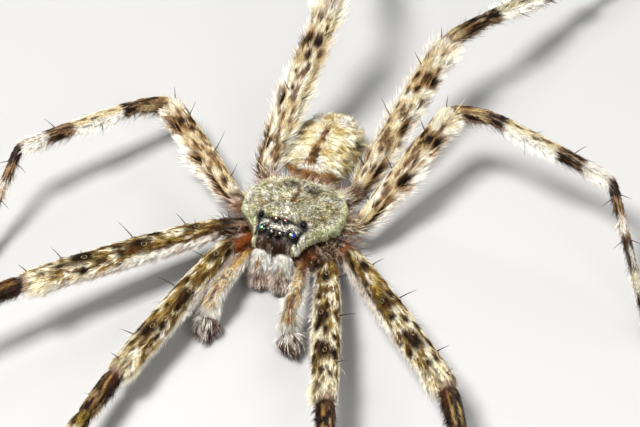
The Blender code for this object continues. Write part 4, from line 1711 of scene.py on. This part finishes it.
JAW_LENGTHS = (Length("jaw", (0.67, 0.75, 0.62), 0.14),)
JAW_TOP, JAW_TIP = (0.82, -4.02, 3.12), (0.86, -5.25, 0.98)
FANG_ROOT, FANG_TIP = (1.02, -5.50, 0.38), (0.16, -5.15, 0.36)


class Jaw(Limb):
    """A chelicera, hanging from under the face, with a swollen front."""

    around = 36
    cap = 0.5
    buried = 0.25  # how far it reaches into the face
    past = 0.12  # and past its tip

    def __init__(self, side: str) -> None:
        """Lays the jaw out.

        Args:
            side: L or R.
        """
        self.name = side
        sign = sign_of(side)
        ends = on_carapace(np.array([JAW_TOP, JAW_TIP]) * (sign, 1, 1))
        ends[0] -= unit(ends[1] - ends[0]) * self.buried
        ends[1] += unit(ends[1] - ends[0]) * self.past
        super().__init__(ends, JAW_LENGTHS, sign, 1.0, 83.0 + sign)
        self.rows = 56

    def tint(self, u: Array, v: Array) -> Array:
        """White on the front with an ochre streak down its middle, dark red-brown below and behind."""
        degrees = self.angle(v)
        place = self.noise_place(u * self.total, degrees, 0.5)
        fine = cloud(place, 0.22)
        tints = mix(Hue.CHESTNUT, Hue.MAUVE, smooth(0.4, 0.7, fine) * 0.8)
        front = 1 - smooth(84, 108, np.abs(degrees) + 40 * (fine - 0.5))
        upper = 1 - smooth(0.50, 0.66, u + 0.25 * (fine - 0.5))
        tints = mix(tints, Hue.WHITE, front * upper)
        streak = bell(degrees, -4, 20) * band(u, 0.2, 0.6, 0.08)
        tints = mix(tints, mix(Hue.TAN, Hue.OCHRE, smooth(0.4, 0.6, fine)), streak * smooth(0.40, 0.54, fine))
        low = smooth(0.56, 0.74, u) * (1 - smooth(90, 130, np.abs(degrees)))
        pale = mix(Hue.PINK, Hue.WHITE, smooth(0.5, 0.6, fine))
        tints = mix(tints, mix(Hue.MAUVE, pale, smooth(0.42, 0.50, fine)), low * 0.9)
        top = mix(Hue.DARK, Hue.MAUVE, smooth(0.46, 0.58, fine))
        return mix(tints, top, (1 - smooth(0.06, 0.14, u)) * 0.95)

    def fur(self, u: Array, v: Array) -> Growth:
        """Hair that hangs down the jaw, at its densest in front."""
        degrees = np.abs(self.angle(v))
        sides = smooth(30, 80, degrees)
        bare = 1 - smooth(0.08, 0.18, u)
        return Growth(
            per_mm2=(200 - 110 * smooth(100, 140, degrees)) * (1 - 0.5 * bare),
            length=(0.5 + 0.12 * sides) * (1 - 0.3 * bare), lift=16 + 20 * sides, width=0.044,
            stray=18 + 20 * bare, tuft=0.3, gather=0.7, patchy=0.9, fleck=0.3 + 0.3 * bare,
        )

    def drape(self, u: Array, v: Array) -> Growth:
        """Long curved hair at the sides and over the jaw's end."""
        degrees = self.angle(v)
        sides = smooth(30, 80, np.abs(degrees))
        low = smooth(0.45, 0.7, u)
        fine = cloud(self.noise_place(u * self.total, degrees, 0.5) + 2, 0.16)
        pale = mix(mix(Hue.TAN, Hue.MAUVE, 0.4), mix(Hue.PINK, Hue.TAN, 0.25), smooth(0.45, 0.55, fine))
        density = (10 + 230 * low + 36 * sides) * (1 - 0.6 * smooth(130, 165, np.abs(degrees)))
        return Growth(
            per_mm2=density * smooth(0.1, 0.25, u), length=0.7 + 0.22 * smooth(0.6, 0.8, u),
            lift=22 + 22 * sides + 40 * smooth(0.84, 0.96, u), width=0.038, stray=22, tuft=0.26, gather=0.45,
            rings=2, settle=0.5, patchy=0.5, fleck=0.35,
            dye=mix(self.tint(u, v), pale, low * smooth(0.36, 0.50, fine)),
        )


# ---- abdomen


ABDOMEN_SIZE = (5.4, 8.0, 4.2)  # width, length, height
ABDOMEN_CENTRE = (-0.2, 8.45, 2.65)
ABDOMEN_DROOP = 2.0


def drooped(points: Array) -> Array:
    """Points on the abdomen's own axes, moved to where it hangs."""
    c, s = math.cos(math.radians(ABDOMEN_DROOP)), math.sin(math.radians(ABDOMEN_DROOP))
    x, y, z = points[..., 0], points[..., 1], points[..., 2]
    return turned(columns(x, y * c + z * s, -y * s + z * c), BODY_TURN) + np.array(ABDOMEN_CENTRE)


class Abdomen(Surface):
    """An egg with a broad square front and a drawn-out rear.

    Its width and height follow the sine of the polar angle, raised to a power that is lower in front.
    """

    rows = 90
    around = 96
    depth = 0.30

    def own(self, u: Array, v: Array) -> tuple[Array, Array, Array]:
        """x, y and z on the abdomen's own axes."""
        polar = np.pi * np.clip(u, 0, 1)
        back = -np.cos(polar)
        spread = np.sin(polar) ** np.where(back < 0, 0.4, 0.9)
        turn = 2 * np.pi * v
        width, length, height = (size / 2 - self.depth for size in ABDOMEN_SIZE)
        dent = 0.05 * bell(np.cos(turn), 0, 0.14) * (np.sin(turn) > 0) * band(back, -0.9, 0.1, 0.1)
        return width * spread * np.cos(turn), length * back, height * spread * np.sin(turn) * (1 - dent)

    def point(self, u: Array, v: Array) -> Array:
        """The egg's skin."""
        return drooped(columns(*self.own(u, v)))

    def tint(self, u: Array, v: Array) -> Array:
        """Cream with a dark stripe down the front half, olive sides and rear, the sides and underside further
        darkened to grey olive as painted shade, and a rusty front edge.
        """
        x, y, z = self.own(u, v)
        place = columns(x, y, z)
        wide, fine = cloud(place + 11, 0.9), cloud(place + 5, 0.3)
        streak = cloud(place * (0.7, 1.7, 0.7) + 9, 0.4)
        tints = mix(Hue.WHITE, Hue.CREAM, smooth(0.36, 0.58, wide + 0.10 * np.abs(x)))
        tints = mix(tints, Hue.STRAW, smooth(0.52, 0.66, 0.5 * streak + 0.5 * wide + 0.05 * np.abs(x)) * 0.6)
        tints = mix(tints, Hue.GOLD, smooth(0.62, 0.72, 0.6 * streak + 0.4 * wide + 0.05 * np.abs(x)) * 0.7)
        # painted shade: the sides and underside turn grey olive, with cream spots
        side = smooth(1.55, 2.2, np.abs(x) + 0.6 * (wide - 0.5)) * smooth(1.4, 0.8, z)
        side = side + smooth(0.4, -0.6, z)
        flank = mix(mix(Hue.GOLD, Hue.SLATE, smooth(0.4, 0.6, wide)), Hue.CREAM, smooth(0.52, 0.64, fine))
        tints = mix(tints, flank, np.clip(side, 0, 1) * 0.9)
        honey = mix(Hue.GOLD, Hue.HONEY, smooth(0.4, 0.6, wide))
        tints = mix(tints, honey, smooth(2.1, 3.4, y + 0.9 * (fine - 0.5)) * 0.7)
        stripe = 1 - smooth(0.26, 0.42, np.abs(x) + 0.3 * (fine - 0.5) + 0.05 * (y + 2))
        stripe = stripe * (z > 0) * band(y, -3.6, 0.5, 0.15)
        brown = mix(Hue.BROWN, mix(Hue.CLAY, Hue.GOLD, 0.3), smooth(0.30, 0.70, fine))
        tints = mix(tints, brown, stripe)
        edge = band(z, -0.3, 0.80, 0.06) * (1 - smooth(-3.12, -2.97, y)) * (1 - smooth(1.9, 2.0, np.abs(x)))
        return mix(tints, mix(mix(Hue.CLAY, Hue.HONEY, 0.3), Hue.RUST, smooth(0.4, 0.6, fine)), edge)

    def lie(self, u: Array, v: Array, along: Array) -> Array:
        """Hair on top runs away from the middle line and a little forward, and further back to the rear."""
        x, y, z = self.own(u, v)
        top = smooth(-0.4, 0.8, z)
        back = 1 - top * (1.45 - 1.9 * smooth(0.4, 2.8, y))
        outward = np.tanh(x / 0.3) * smooth(0.2, 0.45, np.abs(x))
        side = turned(columns(outward, 0.0, -0.35 * np.abs(np.tanh(x / 1.2))), BODY_TURN)
        back = 1 + (back - 1) * smooth(0.22, 0.55, np.abs(x))
        return unit(along * back[:, None] + side * top[:, None])

    def fur(self, u: Array, v: Array) -> Growth:
        """Dense hair all over, short on the rusty edge and the stripe."""
        x, y, z = self.own(u, v)
        top = smooth(-1.0, 0.3, z)
        edge = 1 - smooth(-3.35, -3.1, y)
        stripe = (1 - smooth(0.25, 0.38, np.abs(x))) * (z > 0)
        return Growth(
            per_mm2=70 + 100 * top, length=0.52 - 0.2 * np.maximum(edge, stripe), lift=14 + 8 * edge,
            width=0.066, stray=14, tuft=0.5, gather=0.5, fleck=0.12, patchy=0.5,
        )

    def locks(self, u: Array, v: Array) -> Growth:
        """Longer locks over the fur, none on the front edge or the stripe."""
        x, y, z = self.own(u, v)
        free = smooth(-3.2, -2.95, y) * np.maximum(smooth(0.34, 0.5, np.abs(x)), smooth(-0.2, 0.3, y))
        return Growth(
            per_mm2=(10 + 34 * smooth(-1, 0.5, z)) * free, length=0.6 + 0.12 * np.tanh(np.abs(x)),
            lift=22, width=0.09, stray=26, tuft=0.7, gather=0.8, rings=2, settle=0.2, patchy=0.5,
        )


class Waist(Limb):
    """The narrow stalk between the two body halves."""

    around = 24

    def __init__(self) -> None:
        """Lays the stalk out."""
        front = drooped(np.array([0.0, -ABDOMEN_SIZE[1] / 2 + 0.9, 0.0]))
        ends = np.array([trunk_point(90, 2.2, 0.8), front])
        super().__init__(ends, (Length("waist", (0.5, 0.46, 0.5), 0.04),), 1.0, 1.0, 5.0)
        self.rows = 24

    def tint(self, u: Array, v: Array) -> Array:
        """Brown skin."""
        return mix(Hue.CHESTNUT, Hue.RUST, cloud(self.point(u, v), 0.4))


class Spinneret(Limb):
    """One of the small tapered spinnerets at the rear."""

    around = 14
    cap = 0.14

    def __init__(self, side: float, drop: float, length: float, radius: float) -> None:
        """Lays it out.

        Args:
            side: Its distance from the middle line, left above zero.
            drop: How far it is below the rear pole.
            length: How far it stands out.
            radius: At its root.
        """
        rear = ABDOMEN_SIZE[1] / 2
        root, tip = (side, rear - 0.7, -0.25 - drop), (side * 1.25, rear + length, -0.37 - drop)
        lengths = (Length("spinneret", (radius, radius, radius * 0.6), 0.02),)
        super().__init__(drooped(np.array([root, tip])), lengths, 1.0, 1.0, 9.0 + side)
        self.rows = 18

    def tint(self, u: Array, v: Array) -> Array:
        """Gold to brown."""
        return mix(Hue.GOLD, Hue.BROWN, cloud(self.point(u, v), 0.3))

    def fur(self, u: Array, v: Array) -> Growth:
        """Short hair."""
        return Growth(per_mm2=60, length=0.3, lift=18, width=0.045)


# spinnerets: side, drop, length and radius
SPINNERETS = (
    (0.22, -0.05, 0.64, 0.17), (-0.22, -0.05, 0.64, 0.17),
    (0.15, 0.18, 0.45, 0.15), (-0.15, 0.18, 0.45, 0.15),
)


# ---- eyes, fangs, spines, claws


class Lens(Surface):
    """One eye: a ball sunk by half into the place of its solid."""

    rows = 28
    around = 32
    proud = 0.02  # how far its middle stands off the coat

    def __init__(self, eye: Eye, side: str) -> None:
        """Sets the lens.

        Args:
            eye: Which eye.
            side: L or R.
        """
        self.eye, self.name = eye, f"{eye.name}_{side}"
        self.sign = sign_of(side)
        x, y, step = eye.side * self.sign, eye.y, 0.08
        slope_x = (dome_z(x + step, y) - dome_z(x - step, y)) / (2 * step)
        slope_y = (dome_z(x, y + step) - dome_z(x, y - step)) / (2 * step)
        self.normal = unit(turned(np.array([-slope_x, -slope_y, 1.0], float), BODY_TURN))
        self.centre = on_carapace(np.array([x, y, float(dome_z(x, y))])) + self.normal * self.proud
        self.across = unit(np.cross(self.normal, [0.0, 1.0, 0.0]))
        self.along = np.cross(self.across, self.normal)

    def point(self, u: Array, v: Array) -> Array:
        """The ball, with its pole along the lens's own axis."""
        polar, turn = np.pi * u, 2 * np.pi * v
        return self.centre + spoke(polar, self.normal, spoke(turn, self.across, self.along)) * self.eye.radius

    def tint(self, u: Array, v: Array) -> Array:
        """Black, with a painted reflection in the first colour a little before the middle and one in the
        second colour further out.
        """
        away = unit(self.point(u, v) - self.centre)
        painted_glint, second = linear(self.eye.painted_glints[self.sign > 0]), linear(self.eye.second)
        outward = turned(np.array([self.sign, 0.0, 0.0]), BODY_TURN)
        front = turned(np.array([0.0, -1.0, 0.0]), BODY_TURN)
        inner_glint_way = unit(self.normal + 0.25 * front - 0.15 * outward)
        outer_glint_way = unit(self.normal + 0.25 * front + 0.75 * outward)
        # painted reflections: patches of colour on the lens, facing forward, standing for light caught in the
        # eye
        first = smooth(0.90, 0.985, away @ inner_glint_way)
        last = smooth(0.86, 0.98, away @ outer_glint_way)
        tints = np.zeros((len(away), 3)) + Hue.BLACK.rgb * 0.35
        return mix(mix(tints, second, last), painted_glint, first)

    def build(self, finish: LensFinish) -> Piece:
        """Makes the lens's mesh in place of its solid."""
        shell = Shell()
        self.weave(shell, Cell())
        return shell.piece(f"lens_{self.name}", finish.material(), "eye", f"eye_{self.name}")


class Fang:
    """A folded fang: a curved horn that tapers to a point."""

    radius = 0.25

    def __init__(self, side: str) -> None:
        """Sets the fang.

        Args:
            side: L or R.
        """
        self.side = side
        self.root, self.tip = on_carapace(np.array([FANG_ROOT, FANG_TIP]) * (sign_of(side), 1, 1))

    def build(self) -> Piece:
        """Makes the fang's mesh: a tube on a shallow arc whose radius falls with the root of what is left."""
        t = np.linspace(0, 1, 22)
        bow = np.array([0.0, -0.22, 0.05])
        path = self.root + (self.tip - self.root) * t[:, None] + bow * np.sin(np.pi * t)[:, None]
        horn = Wire(path, self.radius * (1 - t * 0.96) ** 0.7, Hue.CHESTNUT.rgb * 0.5, Hue.BLACK, 16)
        shell = Shell()
        horn.weave(shell, Cell())
        name = f"fang_horn_{self.side}"
        return shell.piece(name, HornFinish(name).material(), "fang_shell", f"fang_{self.side}")


# spines of a leg: its part, share along it, degrees from the top to the front, how long
SPINES = (
    (Part.FEMUR, 0.13, 8, 1.1), (Part.FEMUR, 0.15, -50, 1.2), (Part.FEMUR, 0.42, 30, 1.1),
    (Part.FEMUR, 0.43, -50, 1.7), (Part.FEMUR, 0.69, 12, 1.1), (Part.FEMUR, 0.78, -50, 1.2),
    (Part.FEMUR, 0.96, -15, 1.1), (Part.TIBIA, 0.30, 105, 1.2), (Part.TIBIA, 0.30, -105, 1.2),
    (Part.TIBIA, 0.62, 40, 1.1), (Part.TIBIA, 0.66, -60, 1.1), (Part.METATARSUS, 0.12, 100, 1.0),
    (Part.METATARSUS, 0.12, -100, 1.0), (Part.METATARSUS, 0.42, 100, 0.9), (Part.METATARSUS, 0.42, -100, 0.9),
)


@dataclass(frozen=True)
class Spines:
    """The black spines of the legs, each out of a pale ringed socket, joined into one piece."""

    legs: list[Leg]

    thick = 0.055
    erect = 70.0

    def build(self) -> Piece:
        """Makes all spines."""
        shell = Shell()
        slots = len(SPINES) * len(self.legs)
        random = np.random.default_rng(7)
        for number, (leg, spine) in enumerate(itertools.product(self.legs, SPINES)):
            part, share, degrees, length = spine
            start, span = leg.reach(part)
            u = np.array([(start + span * (share + random.uniform(-0.02, 0.02))) / leg.total])
            v = np.array([((degrees + random.uniform(-6, 6)) / 360) % 1.0])
            points, normals, ways, _ = leg.basis(u, v)
            sunk = 0.13 * leg.pair.fringe
            root = points[0] - normals[0] * sunk
            self._add(shell, root, normals[0], ways[0], length + sunk, Cell(number / slots, 0, 1 / slots, 1))
        finish = HornFinish("spine_horn", roughness=0.35, coat=0.3)
        return shell.piece("spines", finish.material(), "leg_coat")

    def _add(self, shell: Shell, root: Array, normal: Array, way: Array, length: float, cell: Cell) -> None:
        """Adds one spine and its socket.

        Args:
            shell: What gathers them.
            root: Where it stands.
            normal: The skin's outward direction there.
            way: Along the leg.
            length: The spine's length.
            cell: Their place on the map.
        """
        t = np.linspace(0, 1, 7)
        rise = math.radians(self.erect)
        aim = normal * math.sin(rise) + way * math.cos(rise)
        path = root + (aim * (length * t)[:, None] + way * (0.12 * length * t ** 2)[:, None])
        spine = Wire(path, self.thick * (1 - 0.85 * t), Hue.BLACK, Hue.BLACK.rgb * 0.6, 6)
        spine.weave(shell, Cell(cell.x, 0, cell.width * 0.45, 1))
        ring = np.linspace(0, 2 * np.pi, 13)
        across = np.cross(normal, way)
        middle = root + normal * 0.09
        loop = middle + way * np.cos(ring)[:, None] * 0.23 + across * np.sin(ring)[:, None] * 0.14
        socket = Wire(loop, 0.022 + 0.014 * np.cos(ring - 1.2), Hue.BROWN, Hue.STRAW, 5)
        socket.side = unit(loop - root - normal * 0.09)
        socket.rise = np.broadcast_to(normal, socket.side.shape).copy()
        socket.weave(shell, Cell(cell.x + cell.width * 0.5, 0, cell.width * 0.45, 1))


@dataclass(frozen=True)
class Claws:
    """Two small curved claws at each toe."""

    legs: list[Leg]

    length = 0.34

    def build(self) -> Piece:
        """Makes all claws: each a tube on an arc that dips to its point."""
        shell = Shell()
        t = np.linspace(0, 1, 9)
        for number, (leg, side) in enumerate(itertools.product(self.legs, (-1, 1))):
            end = leg.line[-1]
            way = unit((leg.line[-1] - leg.line[-8]) * np.array([1, 1, 0]))
            across = np.cross(way, [0.0, 0.0, 1.0])
            root = end - way * 0.10 + across * 0.09 * side + np.array([0, 0, 0.16])
            path = (root + way * (self.length * t)[:, None] + across * (0.05 * side * t)[:, None]
                    + np.array([0, 0, 1.0]) * (0.10 * np.sin(np.pi * t * 0.8) - 0.18 * t ** 2)[:, None])
            claw = Wire(path, 0.045 * (1 - 0.9 * t), Hue.CHESTNUT, Hue.BLACK)
            claw.weave(shell, Cell(number / 16, 0, 0.055, 1))
        return shell.piece("claws", HornFinish("claw_horn").material(), "fang_shell")


# ---- studio


@dataclass(frozen=True)
class Lamp:
    """A soft square light that looks at the spider."""

    name: str
    place: tuple[float, float, float]  # from the spider's middle, in mm
    size: float
    watts: float

    def build(self, target: Vector) -> None:
        """Adds the light, turned to its target."""
        light = bpy.data.lights.new(self.name, "AREA")
        light.size, light.energy = self.size * MM, self.watts
        made = bpy.data.objects.new(self.name, light)
        made.location = target + Vector(self.place) * MM
        made.rotation_euler = (target - made.location).to_track_quat("-Z", "Y").to_euler()
        bpy.context.scene.collection.objects.link(made)


@dataclass(frozen=True)
class Studio:
    """The pale floor, the lights and the camera."""

    camera_place: tuple[float, float, float] = (44.64, -139.60, 140.10)
    camera_way: tuple[float, float, float] = (-0.2138, 0.6994, -0.6820)
    lens: float = 149.6
    floor: float = 3.0  # half its width, in metres
    sky: tuple[float, ...] = (0.93, 0.96, 1.0, 1.0)
    glow: float = 0.24  # of the sky
    lamps: tuple[Lamp, ...] = (
        Lamp("key", (-70, -110, 270), 80, 1.95),
        Lamp("fill", (190, -190, 150), 180, 0.6),
        Lamp("rim", (40, 260, 190), 140, 0.45),
    )

    def build(self) -> None:
        """Makes floor, lights, world and camera."""
        mesh = bpy.data.meshes.new("floor")
        half = self.floor
        corners = [(-half, -half, 0), (half, -half, 0), (half, half, 0), (-half, half, 0)]
        mesh.from_pydata(corners, [], [(0, 1, 2, 3)])
        mesh.materials.append(FloorFinish().material())
        floor = bpy.data.objects.new("floor", mesh)
        bpy.context.scene.collection.objects.link(floor)
        world = bpy.data.worlds.new("studio")
        world.use_nodes = True
        sky = world.node_tree.nodes["Background"]
        sky.inputs["Color"].default_value = self.sky
        sky.inputs["Strength"].default_value = self.glow
        bpy.context.scene.world = world
        bpy.context.scene.view_settings.view_transform = "Standard"
        target = Vector(Placing.shift) + Vector((0, 0, 0.004))
        for lamp in self.lamps:
            lamp.build(target)
        self._camera()

    def _camera(self) -> None:
        """Adds the camera."""
        data = bpy.data.cameras.new("camera")
        data.sensor_width, data.lens = 36.0, self.lens
        data.clip_start, data.clip_end = 0.01, 20.0
        camera = bpy.data.objects.new("camera", data)
        camera.location = Vector(Placing.row(np.array(self.camera_place)))
        camera.rotation_euler = Vector(self.camera_way).to_track_quat("-Z", "Y").to_euler()
        bpy.context.scene.collection.objects.link(camera)
        bpy.context.scene.camera = camera


# ---- assembly


class Spider:
    """The whole animal."""

    def __init__(self) -> None:
        """Lays every surface out."""
        self.legs = [Leg(name) for name in STANCE]
        self.palps = [Palp(side) for side in "RL"]
        self.jaws = [Jaw(side) for side in "RL"]
        self.carapace, self.trunk = Carapace(), Trunk()
        self.abdomen, self.waist = Abdomen(), Waist()
        self.spinnerets = [Spinneret(*sizes) for sizes in SPINNERETS]

    def skin(self) -> Piece:
        """Makes the one skin, which stands for all solids of flesh."""
        shell = Shell()
        strip = 0.07
        for k, leg in enumerate(self.legs):
            leg.weave(shell, Cell(0, k * strip, 1, strip * 0.94))
        low = len(self.legs) * strip
        for k, part in enumerate([*self.palps, *self.jaws]):
            part.weave(shell, Cell(k * 0.25, low, 0.24, 0.10))
        for k, part in enumerate([self.carapace, self.abdomen, self.trunk]):
            part.weave(shell, Cell(k / 3, low + 0.11, 0.32, 0.27))
        for k, part in enumerate([self.waist, *self.spinnerets]):
            part.weave(shell, Cell(k * 0.2, low + 0.39, 0.19, 0.045))
        kept = ("eye_", "fang_")
        nodes = [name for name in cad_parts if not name.startswith(kept)]
        return shell.piece("skin", SkinFinish().material(), "leg_coat", *nodes)

    def body_coats(self) -> list[Piece]:
        """Grows the coats of the two body halves, the face and the palps."""
        shield = Coat(seed=11, cells=(150, 110))
        for layer in (self.carapace.felt, self.carapace.beard):
            shield.grow(self.carapace, layer, Cell(0, 0, 1, 0.8))
        shield.grow(self.trunk, self.trunk.fur, Cell(0, 0.82, 1, 0.18))
        rear = Coat(seed=12, cells=(120, 100))
        for layer in (self.abdomen.fur, self.abdomen.locks):
            rear.grow(self.abdomen, layer, Cell(0, 0, 1, 0.88))
        for k, part in enumerate(self.spinnerets):
            rear.grow(part, part.fur, Cell(k * 0.25, 0.9, 0.25, 0.1))
        face = Coat(seed=13)
        feelers = Coat(seed=14)
        for jaw, palp, half in zip(self.jaws, self.palps, (Cell(0, 0, 1, 0.5), Cell(0, 0.5, 1, 0.5))):
            face.grow(jaw, jaw.fur, half)
            face.grow(jaw, jaw.drape, half)
            feelers.grow(palp, palp.fur, half)
            feelers.grow(palp, palp.bristle, half)
        # each hair finish's root and tip set how deep its painted shade and painted light are
        return [
            shield.piece("coat_carapace", HairFinish("carapace_felt", root=0.25, tip=1.62), "carapace_coat"),
            rear.piece("coat_abdomen", HairFinish("abdomen_hair", root=0.55, tip=1.25), "abdomen_coat"),
            face.piece("coat_jaws", HairFinish("jaw_hair", root=0.3, tip=1.5), "face_coat"),
            feelers.piece("coat_palps", HairFinish("palp_hair", root=0.55, tip=1.35), "face_coat"),
        ]

    def hard_parts(self) -> None:
        """Makes eyes, fangs, bulbs, spines and claws."""
        for eye, side in itertools.product(EYES, "RL"):
            Lens(eye, side).build(LensFinish(f"lens_{eye.name}_{side}", dull=float(eye.name == "PL")))
        for side in "RL":
            Fang(side).build()
        shell = Shell()
        for palp in self.palps:
            PalpBulb(palp).add(shell)
        shell.piece("palp_bulbs", HornFinish("bulb_horn", roughness=0.18).material(), "fang_shell")
        Spines(self.legs).build()
        Claws(self.legs).build()


def main() -> None:
    """Builds the spider and its studio, in order."""
    logging.basicConfig(level=logging.INFO, format="%(name)s: %(message)s")
    Placing.find()
    spider = Spider()
    spider.skin()
    spider.body_coats()
    for leg in spider.legs:
        leg.coat()
    spider.hard_parts()
    Studio().build()


if __name__ == "__main__":
    main()
